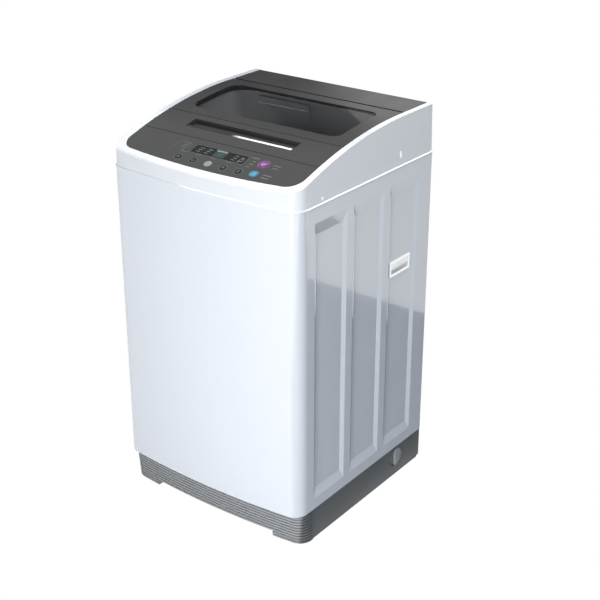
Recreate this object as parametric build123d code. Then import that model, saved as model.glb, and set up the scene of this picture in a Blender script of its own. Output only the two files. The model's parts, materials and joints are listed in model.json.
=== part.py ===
from build123d import *
import os
from math import asin, atan2, cos, degrees, hypot, pi, radians, sin, sqrt, tan

# Top load washing machine, millimetres.
# +X is the machine's right as seen from the front, +Y goes to the back, +Z up.
# The origin is the centre of the footprint, on the floor.

# ---- overall form ---------------------------------------------------------
WIDTH = 540.0
DEPTH = 545.0
HEIGHT = 957.5
BOW_RADIUS = 2150.0        # plan radius of the bowed front
CORNER_RADIUS = 34.0       # vertical front corners
BACK_CORNER_RADIUS = 4.0
CROWN_RADIUS = 1160.0      # the top falls away to the front on this radius
CROWN_LEVEL = 122.5        # level part of the top, from the back
COVER_HEIGHT = 116.5       # top cover above the cabinet
PLINTH_Z = 89.0            # plinth to cabinet
SKIRT_Z = 20.0             # lower edge of the plinth's front between its feet
FOOT_BLOCK_Z = 5.0         # underside of the plinth's corner blocks and sides

HALF = WIDTH / 2
FRONT_Y = -DEPTH / 2
BACK_Y = DEPTH / 2
BOW_CENTRE_Y = FRONT_Y + BOW_RADIUS
CROWN_FLAT_Y = BACK_Y - CROWN_LEVEL
SEAM_Z = HEIGHT - COVER_HEIGHT      # cabinet to top cover
TALL = HEIGHT + COVER_HEIGHT        # above everything, for cutting bodies
LOW = SEAM_Z - COVER_HEIGHT         # below the top cover, for cutting bodies
MIN3 = (Align.MIN, Align.MIN, Align.MIN)
UP = (Align.CENTER, Align.CENTER, Align.MIN)

# ---- top cover ------------------------------------------------------------
COVER_WALL = 2.5
COVER_LIP = 0.8            # how far the cover's hem stands outside the cabinet
COVER_SEAT = 12.0          # inner step that the cabinet edge carries
COVER_HEM = 3.4            # height of the hem round the cover's lower edge
COVER_HEM_BEVEL = 1.9
COVER_INSET = 2.2          # foot of the cover's walls behind the hem
COVER_DRAFT = 1.5          # degrees, front and side walls lean in to the top
COVER_BACK_CORNER = 8.0
RIM_RADIUS = 13.0          # roll over the front edge
ROLL_LIFT = 0.03           # the roll meets its neighbours at a hair's angle
RIM_SIDE = 20.0            # white rim beside the dark panels
RIM_FRONT = 18.3
DARK_CORNER = 38.0
DECK_DEPTH = 17.0          # deck under the panels, below the crown
PANEL_SKIN = 3.0
PANEL_RIM = 3.0            # thickness of the panels' skirts
LID_DEPTH = 13.0           # depth of the lid skirts
GAP = 1.5                  # seams between the top panels
EDGE_GAP = 0.8             # seam between the panels and the rim
CONTROL_DEPTH = 112.5      # control panel, from the front
FRONT_LEAF = 89.5          # front part of the lid
FASCIA_DEPTH = 103.5       # rear fascia, from the back
OPENING_SIDE = 51.0        # loading opening, in from the sides and the seams
OPENING_FRONT = 10.5
OPENING_BACK = 14.0
OPENING_CORNER = 62.0
LIP_WIDTH = 5.0
LIP_THICK = 1.5
WELL_WALL = 2.5
WELL_RISE = 9.0            # well floor above the cabinet seam
WELL_COLLAR = 14.0
WELL_MOUTH_IN = 9.0        # mouth of the well inside the balance ring
SIDE_SLOT_BACK = 139.5     # slot in the cover's sides, from the back
SIDE_SLOT_RISE = 20.0
SIDE_SLOT_LENGTH = 19.0
SIDE_SLOT_HALF = 4.0
SIDE_SCREW_FRONT = 102.5
SIDE_SCREW_RISE = 12.0
SCREW_HEAD_R = 3.6
SCREW_HEAD_H = 1.3
SCREW_R = 1.9
SCREW_LENGTH = 8.0
SCREW_BOSS_R = 6.5
SCREW_SINK = 4.2           # seat of the cover's side screws, in from the hem

SEAM_FRONT_Y = FRONT_Y + CONTROL_DEPTH
SEAM_FOLD_Y = SEAM_FRONT_Y + FRONT_LEAF
SEAM_REAR_Y = BACK_Y - FASCIA_DEPTH
OPENING_HALF = HALF - OPENING_SIDE
OPENING_FRONT_Y = SEAM_FRONT_Y + OPENING_FRONT
OPENING_BACK_Y = SEAM_REAR_Y - OPENING_BACK
WELL_FLOOR_Z = SEAM_Z + WELL_RISE
WELL_MOUTH_Z = WELL_FLOOR_Z - WELL_COLLAR
SIDE_SLOT_Y = BACK_Y - SIDE_SLOT_BACK
SIDE_SLOT_Z0 = SEAM_Z + SIDE_SLOT_RISE
SIDE_SLOT_Z1 = SIDE_SLOT_Z0 + SIDE_SLOT_LENGTH
SIDE_SCREW_Y = FRONT_Y + SIDE_SCREW_FRONT
SIDE_SCREW_Z = SEAM_Z + SIDE_SCREW_RISE
SIDE_SCREW_X = HALF - SCREW_SINK

# ---- lid ------------------------------------------------------------------
WINDOW_SIDE = 58.0         # window, in from the sides and the seams
WINDOW_FRONT = 31.5
WINDOW_BACK = 41.0
WINDOW_CORNER = 26.0
WINDOW_THICK = 3.0
WINDOW_SINK = 1.6          # glass face below the frame face
WINDOW_LEDGE = 6.0
BARREL_RADIUS = 7.0
BARREL_SOLID = 14.0        # solid stretch of the lid in front of its hinge axis
PIN_RADIUS = 2.0
PIN_BED = 18.0             # length of the rear pins inside the barrel
SHAFT_CLEARANCE = 0.1
HINGE_ARM_SIDE = 27.0
HINGE_ARM_WIDTH = 6.0
HINGE_ROOM = 3.5           # clear of the hinge arms
FOLD_EYE_SIDE = 41.0
FOLD_EYE_WIDTH = 5.0
FOLD_EYE_GAP = 2.5
FOLD_EYE_RADIUS = 3.6
FOLD_ROOM = 0.7
HANDLE_SIDE = 118.0        # finger recess, in from the sides and the seams
HANDLE_FRONT = 34.5
HANDLE_BACK = 20.0
HANDLE_SINK = 11.0
HANDLE_CORNER = 3.0
HANDLE_WALL = 2.0
STRIP_WIDTH = 7.0
STRIP_END = 3.0

WINDOW_HALF = HALF - WINDOW_SIDE
WINDOW_FRONT_Y = SEAM_FOLD_Y + WINDOW_FRONT
WINDOW_BACK_Y = SEAM_REAR_Y - WINDOW_BACK
HINGE_ARM_OUT = HALF - HINGE_ARM_SIDE
HINGE_ARM_IN = HINGE_ARM_OUT - HINGE_ARM_WIDTH
EYE_INNER = HALF - FOLD_EYE_SIDE
EYE_OUTER = EYE_INNER + FOLD_EYE_WIDTH
EAR_INNER = EYE_OUTER + FOLD_EYE_GAP
EAR_OUTER = EAR_INNER + FOLD_EYE_WIDTH
HANDLE_HALF = HALF - HANDLE_SIDE
HANDLE_FRONT_Y = SEAM_FRONT_Y + HANDLE_FRONT
HANDLE_BACK_Y = SEAM_FOLD_Y - HANDLE_BACK

# ---- control panel --------------------------------------------------------
DISPLAY_X0 = -67.5
DISPLAY_WIDTH = 148.0
DISPLAY_FRONT = 64.2       # display and keys, from the front
DISPLAY_LENGTH = 27.6
KEY_ROW_FRONT = 40.5
KEY_FIRST_X = -81.0
KEY_PITCH = 42.7
KEY_COUNT = 5
KEY_RADIUS = 8.6
PROGRAM_X = 129.0
PROGRAM_FRONT = 79.5
PROGRAM_RADIUS = 13.0
POWER_X = 129.0
POWER_FRONT = 44.5
POWER_RADIUS = 9.6
KEY_CLEARANCE = 0.35
KEY_PROUD = 0.7
KEY_EDGE = 0.4
KEY_TRAVEL = 1.2
KEY_FLANGE = 1.6
KEY_FLANGE_THICK = 0.9
KEY_STEM_RADIUS = 3.0
KEY_BOARD_GAP = 0.4
BOARD_DEPTH = 9.5
BOARD_THICK = 1.6
BOARD_MARGIN = 29.0        # board beyond the outer keys
BOARD_FRONT_MARGIN = 10.0
BOARD_BACK_MARGIN = 12.5
BOARD_CORNER = 4.0
BOARD_POST_R = 3.0
BOARD_POST_IN = 6.0

DISPLAY_X1 = DISPLAY_X0 + DISPLAY_WIDTH
DISPLAY_Y0 = FRONT_Y + DISPLAY_FRONT
DISPLAY_Y1 = DISPLAY_Y0 + DISPLAY_LENGTH
KEY_ROW_Y = FRONT_Y + KEY_ROW_FRONT
PROGRAM_Y = FRONT_Y + PROGRAM_FRONT
POWER_Y = FRONT_Y + POWER_FRONT

# ---- cabinet --------------------------------------------------------------
SHEET = 1.0
CABINET_MOUTH = 14.0       # flange round the cabinet's open top and bottom
MOUTH_CORNER = 22.0
PANEL_COUNT = 3
PANEL_DEPTH = 5.0          # pressed side panels
PANEL_FRONT = 73.5
PANEL_BACK = 61.5
PANEL_SPACING = 25.0
PANEL_BELOW = 29.0
PANEL_ABOVE = 37.0
PANEL_BEVEL = 11.5
PANEL_BEVEL_TOP = 28.0
PANEL_BEVEL_BOTTOM = 24.0
BACK_FLANGE = 28.0
BACK_SHEET_IN = 2.5        # face of the rear flange, in from the back
GRIP_LENGTH = 87.0
GRIP_HEIGHT = 40.0
GRIP_DROP = 230.0          # hand hold below the cabinet seam
GRIP_IN_PANEL = 13.0
GRIP_FRAME = 5.0
GRIP_CORNER = 3.0
GRIP_DEPTH = 24.0
GRIP_WALL = 1.8
GRIP_PROUD = 1.2

PANEL_FIRST_Y = FRONT_Y + PANEL_FRONT
PANEL_WIDTH = (DEPTH - PANEL_FRONT - PANEL_BACK
               - (PANEL_COUNT - 1) * PANEL_SPACING) / PANEL_COUNT
PANEL_PITCH = PANEL_WIDTH + PANEL_SPACING
PANEL_Z0 = PLINTH_Z + PANEL_BELOW
PANEL_Z1 = SEAM_Z - PANEL_ABOVE
BACK_SHEET_Y = BACK_Y - BACK_SHEET_IN
GRIP_Y0 = PANEL_FIRST_Y + (PANEL_COUNT - 1) * PANEL_PITCH + GRIP_IN_PANEL
GRIP_Y1 = GRIP_Y0 + GRIP_LENGTH
GRIP_Z1 = SEAM_Z - GRIP_DROP
GRIP_Z0 = GRIP_Z1 - GRIP_HEIGHT

# ---- back panel -----------------------------------------------------------
BACK_PANEL_IN = 8.0        # back panel inside the cabinet's edges
BACK_RIB_COUNT = 3
BACK_RIB_PITCH = 150.0
BACK_RIB_HALF = 30.0
BACK_RIB_DEPTH = 5.0
BACK_RIB_BELOW = 60.0
BACK_RIB_ABOVE = 160.0
VENT_COUNT = 10
VENT_HALF = 60.0
VENT_PITCH = 9.0
VENT_HEIGHT = 4.0
BACK_SCREW_SIDE = 17.0
BACK_SCREW_END = 16.0
BACK_SCREW_PITCH = 250.0
GLAND_SIDE = 65.0
GLAND_RISE = 43.0
GLAND_R = 9.0
GLAND_FLANGE = 3.0
GLAND_DEPTH = 6.0
GLAND_BORE = 4.2
CAPACITOR_SIDE = 120.0
CAPACITOR_RISE = 31.0
CAPACITOR_R = 20.0
CAPACITOR_HEIGHT = 80.0
CAPACITOR_STRAP = 20.0

GLAND_X = -HALF + GLAND_SIDE
GLAND_Z = PLINTH_Z + GLAND_RISE

# ---- plinth ---------------------------------------------------------------
PLINTH_WALL = 4.0
PLINTH_TOP_INSET = 12.0    # front of the plinth behind the cabinet front
PLINTH_RAKE = 6.5          # how much further its lower edge is set back
PLINTH_SIDE_INSET = 1.2
PLINTH_CORNER = 33.0
PLINTH_LEDGE = 24.0        # flange that carries the cabinet
LEDGE_THICK = 4.0
SIDE_STEP = 1.6            # plain sides behind the face of the ribs
RIB_COUNT = 10
RIB_PITCH = 8.0
RIB_DEPTH = 2.6
RIB_GAP = 3.0
RIB_LENGTH = 71.0          # ribs run back this far from the front
RIB_END_BAND = 3.0
FOOT_BLOCK_SIDE = 88.0
FOOT_BLOCK_LENGTH = 102.5
FOOT_SIDE = 52.0
FOOT_FRONT = 69.5
FOOT_RADIUS = 20.0
FOOT_HEIGHT = 10.0
FOOT_ROUND = 2.0
FOOT_ROOM = 2.0
FOOT_TRAVEL = 10.0
FOOT_STUD_RADIUS = 5.0
FOOT_NUT_R = 9.0
FOOT_NUT_H = 6.0
FOOT_SOCKET_TOP = 34.0
REAR_FOOT_SIDE = 24.5
REAR_FOOT_BACK = 24.0
REAR_FOOT_RADIUS = 15.5
REAR_NOTCH = 11.0          # small step up at the rear end of the sides
REAR_NOTCH_RISE = 4.0
DRAIN_BACK = 113.0
DRAIN_Z = 54.0
DRAIN_RADIUS = 27.5
DRAIN_WALL = 2.4
DRAIN_DEPTH = 26.0
DRAIN_RIM = 1.5
CAP_DEPTH = 18.0
CAP_SINK = 8.0             # body of the cap behind the plinth's face
CAP_BAR = 3.0              # half thickness of the finger bar
CAP_RIB_COUNT = 7
CAP_RIB = 1.3

RIB_END_Y = FRONT_Y + RIB_LENGTH
FOOT_BLOCK_X = HALF - FOOT_BLOCK_SIDE
FOOT_BLOCK_Y = FRONT_Y + FOOT_BLOCK_LENGTH
FOOT_X = HALF - FOOT_SIDE
FOOT_Y = FRONT_Y + FOOT_FRONT
REAR_FOOT_X = HALF - REAR_FOOT_SIDE
REAR_FOOT_Y = BACK_Y - REAR_FOOT_BACK
DRAIN_Y = BACK_Y - DRAIN_BACK

# ---- wash unit ------------------------------------------------------------
TUB_Y = 5.0
TUB_CLEAR = 34.0           # tub wall inside the machine's outline
TUB_DROP = 51.0            # tub edge below the cabinet seam
TUB_WALL = 3.0
TUB_FLOOR_Z = 262.0
TUB_FLOOR_THICK = 4.0
TUB_RIB = 26.0
TUB_RIB_COUNT = 8
TUB_RIB_HALF = 3.0
TUB_RIB_START = 70.0
TUB_HOOP = 5.0
TUB_HOOP_HEIGHT = 6.0
TUB_HOOP_DROP = 14.0
MOUTH_OUT = 7.0            # tub ring's edge outside the balance ring's
RING_FOOT = 3.0
RING_RISE = 12.0
RING_LIP = 10.0
BASKET_GAP = 28.0
BASKET_WALL = 1.2
BASKET_RISE = 38.0         # basket floor above the tub floor
BASKET_HOLE_R = 3.5
BASKET_HOLE_ROWS = 6
BASKET_HOLE_COLUMNS = 12
BASKET_HOLE_END = 60.0
BALANCE_WIDTH = 43.0
BALANCE_PROUD = 4.0
BALANCE_HEIGHT = 40.0
BALANCE_ROUND = 8.0
BALANCE_WALL = 6.0
HUB_R = 34.0
HUB_HEIGHT = 16.0
HUB_ARM_HALF = 14.0
HUB_ARM_HEIGHT = 10.0
HUB_ARM_END = 22.0
FILTER_RISE = 180.0
FILTER_HEIGHT = 150.0
FILTER_HALF = 38.0
FILTER_DEPTH = 12.0
PULSATOR_GAP = 42.0        # pulsator edge inside the basket wall
PULSATOR_RISE = 10.0       # underside above the basket floor
PULSATOR_EDGE = 14.0
PULSATOR_RIM = 20.0
PULSATOR_DISH = 8.0
PULSATOR_DISH_R = 100.0
PULSATOR_HUB = 40.0
PULSATOR_HUB_TOP = 26.0
PULSATOR_VANES = 4
VANE_HALF = 7.0
VANE_TOP = 23.0
WASH_SHAFT_R = 8.0
SHAFT_IN_HUB = 16.0
SPIN_TUBE_R = 15.0
BEARING_R = 29.0
BEARING_H = 12.0
BEARING_SEAT = 32.0
NECK_WALL = 5.0
SEAL_IN = 3.0
PLATE_THICK = 4.0
PLATE_HALF = 88.0
PLATE_FRONT = 78.0
PLATE_BACK = 92.0
PLATE_CORNER = 20.0
PLATE_RIM = 10.0
CLUTCH_R = 55.0
CLUTCH_FLANGE = 14.0
CLUTCH_BOTTOM_Z = 146.0
PULLEY_Z0 = 116.0
PULLEY_HEIGHT = 18.0
PULLEY_FLANGE = 5.0
DRIVE_PULLEY_R = 75.0
PULLEY_WINDOWS = 5
PULLEY_WINDOW_R = 14.0
PULLEY_WINDOW_AT = 44.0
MOTOR_PULLEY_R = 22.0
MOTOR_SHAFT_R = 7.0
MOTOR_REACH = 135.0        # motor axis in front of the tub axis
MOTOR_R = 62.0
MOTOR_BOTTOM_Z = 142.0
MOTOR_NECK = 22.0
MOTOR_STEP = 10.0
MOTOR_GROOVES = 4
MOTOR_GROOVE = 3.0
MOTOR_GROOVE_PITCH = 13.0
BELT_THICK = 5.0
BELT_HEIGHT = 9.0
RUN_GAP = 0.3              # clear of moving neighbours
ROD_SIDE = 48.0
ROD_END = 58.5             # rods, in from the front and back of the footprint
ROD_DROP = 29.0
ROD_BELOW_EAR = 95.0
ROD_RADIUS = 4.0
ROD_ROOM = 1.0
ROD_KNOB_R = 9.0
ROD_KNOB_H = 8.0
EAR_RISE = 38.0
EAR_THICK = 12.0
EAR_RADIUS = 17.0
EAR_WEB = 40.0
EAR_BORE = 4.0
SPRING_RADIUS = 15.0
SPRING_WIRE_R = 1.7
SPRING_TURNS = 7
CUP_HEIGHT = 10.0
CUP_SEAT = 3.0
CUP_WALL = 2.5
CUP_ROOM = 3.5
WASHER_THICK = 4.0
BRACKET_HALF = 11.0
BRACKET_ARM = 16.0
BRACKET_THICK = 4.0
BRACKET_WEB = 3.0
VALVE_ANGLE = 22.5
VALVE_GAP = 66.0           # valve axis inside the tub wall
VALVE_R = 22.0
VALVE_DROP = 57.0
VALVE_PORT = 8.0
SPOUT_DROP = 15.0
ACTUATOR_HALF = 16.0
ACTUATOR_HEIGHT = 34.0
BELLOWS_LENGTH = 68.0
BELLOWS_FOLDS = 5
BELLOWS_WALL = 2.5
BELLOWS_FOLD = 6.0
BELLOWS_FOLD_HALF = 3.0
HOSE_R = 14.0
HOSE_WALL = 2.5
HOSE_BEND = 30.0

TUB_RADIUS = min(WIDTH, DEPTH) / 2 - TUB_CLEAR
TUB_TOP_Z = SEAM_Z - TUB_DROP
BASKET_RADIUS = TUB_RADIUS - BASKET_GAP
BASKET_FLOOR_Z = TUB_FLOOR_Z + BASKET_RISE
BASKET_TOP_Z = TUB_TOP_Z - BALANCE_HEIGHT
BALANCE_INNER = BASKET_RADIUS - BALANCE_WIDTH
TUB_MOUTH_R = BALANCE_INNER + MOUTH_OUT
WELL_MOUTH_R = BALANCE_INNER - WELL_MOUTH_IN
PULSATOR_RADIUS = BASKET_RADIUS - PULSATOR_GAP
MOTOR_Y = TUB_Y - MOTOR_REACH
ROD_X = HALF - ROD_SIDE
ROD_DY = DEPTH / 2 - ROD_END
ROD_TOP_Z = SEAM_Z - ROD_DROP
EAR_Z = TUB_FLOOR_Z + EAR_RISE
ROD_END_Z = EAR_Z - ROD_BELOW_EAR
VALVE_REACH = TUB_RADIUS - VALVE_GAP
VALVE_BOTTOM_Z = TUB_FLOOR_Z - VALVE_DROP
BELLOWS_TOP_Z = VALVE_BOTTOM_Z - SPOUT_DROP
BELLOWS_BOTTOM_Z = BELLOWS_TOP_Z - BELLOWS_LENGTH

# ---- rear compartment -----------------------------------------------------
DRAWER_WIDTH = 152.0
DRAWER_GAP = 1.0           # free play round the drawer
DRAWER_DROP = 71.5         # drawer's underside below the top
DRAWER_LENGTH = 96.0
DRAWER_HEAD = 5.0
DRAWER_PROUD = 8.0         # drawer front ahead of the opening's back wall
DRAWER_PLATE = 4.0
DRAWER_TRAY_DROP = 14.0
DRAWER_WALL = 2.2
DRAWER_STOP = 6.0
LIP_RISE = 14.0
LIP_HALF = 20.0
LIP_REACH = 7.0
LIP_HEIGHT = 3.0
SPOUT_LENGTH = 30.0
SPOUT_WIDTH = 20.0
INLET_SIDE = 115.0
INLET_DROP = 67.5
INLET_HALF = 34.0
INLET_POCKET = 24.0
INLET_THREAD_R = 13.2
INLET_THREAD_LENGTH = 15.5
INLET_NECK_R = 11.8
INLET_NECK = 2.5           # plain neck between the pocket wall and the thread
INLET_HOLE_GAP = 0.3
INLET_BORE_R = 8.6
VALVE_HALF = 18.0
VALVE_BODY_HALF = 16.0
VALVE_BODY_LENGTH = 26.0
COIL_R = 13.0
DUCT_R = 8.0
DUCT_RISE = 6.0
SENSOR_SIDE = 65.0
SENSOR_BACK = 67.5
SENSOR_R = 24.0
SENSOR_HEIGHT = 22.0
SENSOR_NIPPLE_R = 3.0
SENSOR_NIPPLE = 12.0

DRAWER_X0 = DRAWER_GAP - (OPENING_HALF - OPENING_CORNER)
DRAWER_X1 = DRAWER_X0 + DRAWER_WIDTH
DRAWER_Z0 = HEIGHT - DRAWER_DROP
INLET_X = HALF - INLET_SIDE
INLET_Z = HEIGHT - INLET_DROP


# ---- helpers --------------------------------------------------------------
def block(x0, x1, y0, y1, z0, z1):
    return Pos(x0, y0, z0) * Box(x1 - x0, y1 - y0, z1 - z0, align=MIN3)


def rod_z(x, y, z0, z1, r):
    return Pos(x, y, z0) * Cylinder(r, z1 - z0, align=UP)


def rod_x(x0, x1, y, z, r):
    return Pos(x0, y, z) * Rot(0, 90, 0) * Cylinder(r, x1 - x0, align=UP)


def rod_y(x, y0, y1, z, r):
    return Pos(x, y0, z) * Rot(-90, 0, 0) * Cylinder(r, y1 - y0, align=UP)


def ring_z(x, y, z0, z1, r_out, r_in):
    return rod_z(x, y, z0, z1, r_out) - rod_z(x, y, z0 - 1, z1 + 1, r_in)


def mirrored(part):
    """The same piece on the machine's other side."""
    return mirror(part, about=Plane.YZ)


def both_sides(part):
    return Compound(children=[part, mirrored(part)])


def plan(front, half, back, front_r, back_r=0.0):
    """Plan outline with the bowed front; insets stay concentric with the bow."""
    radius = BOW_CENTRE_Y - front
    side = BOW_CENTRE_Y - sqrt(radius ** 2 - half ** 2)
    outline = [
        ThreePointArc((-half, side), (0, front), (half, side)),
        Line((half, side), (half, back)),
        Line((half, back), (-half, back)),
        Line((-half, back), (-half, side)),
    ]
    face = make_face(outline)
    if front_r > 0:
        face = fillet(face.vertices().group_by(Axis.Y)[0], front_r)
    if back_r > 0:
        face = fillet(face.vertices().group_by(Axis.Y)[-1], back_r)
    return face


def prism(face, z0, z1):
    return extrude(Pos(0, 0, z0) * face, amount=z1 - z0)


def rounded_rect(x0, x1, y0, y1, r):
    return Pos((x0 + x1) / 2, (y0 + y1) / 2) * RectangleRounded(x1 - x0, y1 - y0, r)


def crown_z(y, depth=0.0):
    """Height of the crown line at y, at a depth below the crown."""
    if y >= CROWN_FLAT_Y:
        return HEIGHT - depth
    reach = CROWN_FLAT_Y - y
    return HEIGHT - CROWN_RADIUS + sqrt((CROWN_RADIUS - depth) ** 2 - reach ** 2)


def crown_section(depth):
    """Everything below the crown line, as a face in the YZ plane."""
    front, back = FRONT_Y - RIM_SIDE, BACK_Y + RIM_SIDE
    middle = (front + CROWN_FLAT_Y) / 2
    outline = [
        ThreePointArc((front, crown_z(front, depth)), (middle, crown_z(middle, depth)),
                      (CROWN_FLAT_Y, HEIGHT - depth)),
        Line((CROWN_FLAT_Y, HEIGHT - depth), (back, HEIGHT - depth)),
        Line((back, HEIGHT - depth), (back, LOW)),
        Line((back, LOW), (front, LOW)),
        Line((front, LOW), (front, crown_z(front, depth))),
    ]
    return make_face(outline)


def under_crown(depth):
    return extrude(Plane.YZ * crown_section(depth), amount=WIDTH, both=True)


def crown_slab(d0, d1, y0, y1, half):
    """A curved board between two depths under the crown."""
    band = crown_section(d0) - crown_section(d1)
    cut = Pos((y0 + y1) / 2, HEIGHT) * Rectangle(y1 - y0, 4 * (TALL - LOW))
    return extrude(Plane.YZ * (band & cut), amount=half, both=True)


def on_crown(x, y):
    """Plane on the crown at x, y: its Z is the surface normal."""
    tilt = asin(max(0.0, CROWN_FLAT_Y - y) / CROWN_RADIUS)
    return Plane(origin=(x, y, crown_z(y)), x_dir=(1, 0, 0), z_dir=(0, -sin(tilt), cos(tilt)))


def at_tub(part):
    return Pos(0, TUB_Y, 0) * part


def around_tub(count, make, start=0.0):
    """Copies of a piece around the tub's axis, made once at angle 0."""
    return [at_tub(Rot(0, 0, start + i * 360 / count) * make) for i in range(count)]


def join(parts):
    whole = parts[0]
    for part in parts[1:]:
        whole = whole + part
    return whole


# ---- top cover and its panels ---------------------------------------------
def front_roll(inset, depth, roll, floor):
    """Cutter that rolls the crown over into the front wall, swept along the bow."""
    foot = FRONT_Y + COVER_INSET + inset
    lean = radians(COVER_DRAFT)
    edge_y = foot + (crown_z(foot, depth) - floor) * tan(lean)
    edge = Vector(edge_y, crown_z(edge_y, depth))
    slope = asin((CROWN_FLAT_Y - edge_y) / (CROWN_RADIUS - depth))
    along, normal = Vector(cos(slope), sin(slope)), Vector(-sin(slope), cos(slope))
    down = Vector(-sin(lean), -cos(lean))
    reach = roll / tan((pi / 2 + slope + lean) / 2)
    on_top, on_wall = edge + along * reach, edge + down * reach
    centre = on_top - normal * roll
    outward = (edge - centre).normalized()
    lift = outward * ROLL_LIFT
    clear = 2 * roll
    face = make_face([
        ThreePointArc(on_top + lift, centre + outward * roll + lift, on_wall + lift),
        Polyline(on_wall + lift, on_wall + Vector(-clear, 0), edge + Vector(-clear, clear),
                 on_top + normal * clear, on_top + lift),
    ])
    bow = (BOW_CENTRE_Y - edge_y) * cos(slope)
    hub = edge + along * bow
    axis = Axis((0, hub.X, hub.Y), (0, normal.X, normal.Y))
    half_turn = degrees(asin(HALF / bow))
    return revolve((Plane.YZ * face).rotate(axis, -half_turn), axis, 2 * half_turn)


def cover_form(inset, depth, roll, floor):
    """Outer form of the cover's walls: bowed plan, draft, crowned top, rolled front."""
    side = COVER_INSET + inset
    back = BACK_Y - inset
    outline = plan(FRONT_Y + side, HALF - side, BACK_Y + CORNER_RADIUS, CORNER_RADIUS - side)
    body = extrude(Pos(0, 0, floor) * outline, amount=TALL - floor, taper=COVER_DRAFT)
    body = body & under_crown(depth) & block(-HALF, HALF, -DEPTH, back, LOW, TALL)
    uprights = body.edges().filter_by(
        lambda e: abs(e.center().Y - back) < 0.01 and abs(e.center().X) > OPENING_HALF)
    body = fillet(uprights, COVER_BACK_CORNER - inset)
    return body - front_roll(inset, depth, roll, floor)


def cover_hem(seat):
    """Bevelled hem that stands out all round the cover's lower edge."""
    outline = plan(FRONT_Y, HALF, BACK_Y, CORNER_RADIUS)
    hem = prism(outline, SEAM_Z, SEAM_Z + COVER_HEM)
    top = hem.faces().sort_by(Axis.Z)[-1].edges().sort_by(Axis.Y)[:-1]
    return chamfer(top, COVER_HEM_BEVEL) - prism(seat, SEAM_Z - 1, TALL)


def dark_plan(offset, back=BACK_Y + 10):
    """Plan of the dark panels; offset is inwards."""
    return plan(FRONT_Y + RIM_FRONT + offset, HALF - RIM_SIDE - offset, back, DARK_CORNER - offset)


def opening_plan(offset):
    """Plan of the loading opening; offset is inwards."""
    return rounded_rect(-OPENING_HALF + offset, OPENING_HALF - offset, OPENING_FRONT_Y + offset,
                        OPENING_BACK_Y - offset, OPENING_CORNER - offset)


def inlet_pocket_box(grow, back):
    return block(INLET_X - INLET_HALF - grow, INLET_X + INLET_HALF + grow,
                 BACK_Y - INLET_POCKET - grow, back,
                 INLET_Z - INLET_HALF - grow, INLET_Z + INLET_HALF + grow)


def top_cover():
    shell = cover_form(0, 0, RIM_RADIUS, SEAM_Z)
    void = cover_form(COVER_WALL, COVER_WALL, RIM_RADIUS - COVER_WALL, SEAM_Z - 1)
    keep = prism(dark_plan(-COVER_WALL), LOW, TALL) - under_crown(DECK_DEPTH + COVER_WALL)
    pocket = prism(dark_plan(0), LOW, TALL) - under_crown(DECK_DEPTH)
    cover = shell - (void - keep) - pocket
    seat = plan(FRONT_Y + COVER_SEAT, HALF - COVER_SEAT, BACK_Y - COVER_SEAT,
                CORNER_RADIUS - COVER_SEAT)
    cover = cover + cover_hem(seat)
    cover = cover - prism(opening_plan(0), LOW, TALL)
    cover = cover + (inlet_pocket_box(COVER_WALL, BACK_Y) - inlet_pocket_box(0, BACK_Y + 5))
    cover = cover - inlet_pocket_box(0, BACK_Y + 5)
    cover = cover - rod_y(INLET_X, BACK_Y - INLET_POCKET - 10, BACK_Y, INLET_Z,
                          INLET_THREAD_R + INLET_HOLE_GAP)
    slot = Pos(0, SIDE_SLOT_Y, (SIDE_SLOT_Z0 + SIDE_SLOT_Z1) / 2) * Rot(0, 90, 0) * extrude(
        SlotOverall(SIDE_SLOT_LENGTH, 2 * SIDE_SLOT_HALF), amount=HALF + 5)
    slot = slot & block(HALF - 2 * COVER_SEAT, HALF + 5, -DEPTH, DEPTH, LOW, TALL)
    boss = rod_x(SIDE_SCREW_X - SCREW_LENGTH, SIDE_SCREW_X, SIDE_SCREW_Y, SIDE_SCREW_Z,
                 SCREW_BOSS_R)
    screw = rod_x(SIDE_SCREW_X, HALF + 5, SIDE_SCREW_Y, SIDE_SCREW_Z, SCREW_HEAD_R + 0.6)
    screw = screw + rod_x(SIDE_SCREW_X - 2 * SCREW_LENGTH, HALF, SIDE_SCREW_Y, SIDE_SCREW_Z,
                          SCREW_R)
    return cover + boss + mirrored(boss) - slot - mirrored(slot) - screw - mirrored(screw)


def well_wall_ring(z0):
    return prism(opening_plan(0) - opening_plan(WELL_WALL), z0, TALL)


def tub_well():
    """Lining of the loading opening, with its lip on the deck."""
    walls = well_wall_ring(WELL_FLOOR_Z + WELL_WALL) & under_crown(DECK_DEPTH - LIP_THICK)
    lip = prism(opening_plan(-LIP_WIDTH) - opening_plan(WELL_WALL), LOW, TALL)
    lip = lip & (under_crown(DECK_DEPTH - LIP_THICK) - under_crown(DECK_DEPTH))
    doorway = block(DRAWER_X0 - DRAWER_GAP, DRAWER_X1 + DRAWER_GAP,
                    OPENING_BACK_Y - 2 * WELL_WALL, OPENING_BACK_Y + WELL_WALL,
                    DRAWER_Z0 - 2 * DRAWER_GAP, drawer_top_z() + DRAWER_GAP)
    return walls + lip - doorway


def splash_ring():
    """Floor of the well under its walls, with the round mouth over the tub."""
    floor = prism(opening_plan(0), WELL_FLOOR_Z, WELL_FLOOR_Z + WELL_WALL)
    collar = rod_z(0, TUB_Y, WELL_MOUTH_Z, WELL_FLOOR_Z + WELL_WALL, WELL_MOUTH_R + WELL_WALL)
    return floor + collar - rod_z(0, TUB_Y, WELL_MOUTH_Z - 1, TALL, WELL_MOUTH_R)


def panel_board(face, d_skirt, rim):
    """Dark panel: a curved skin with a skirt all round, from its plan face."""
    outer = prism(face, LOW, TALL)
    inner = prism(offset(face, -rim), LOW, TALL)
    skin = outer & (under_crown(0) - under_crown(d_skirt))
    return skin - (inner & (under_crown(PANEL_SKIN) - under_crown(d_skirt + 5)))


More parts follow.
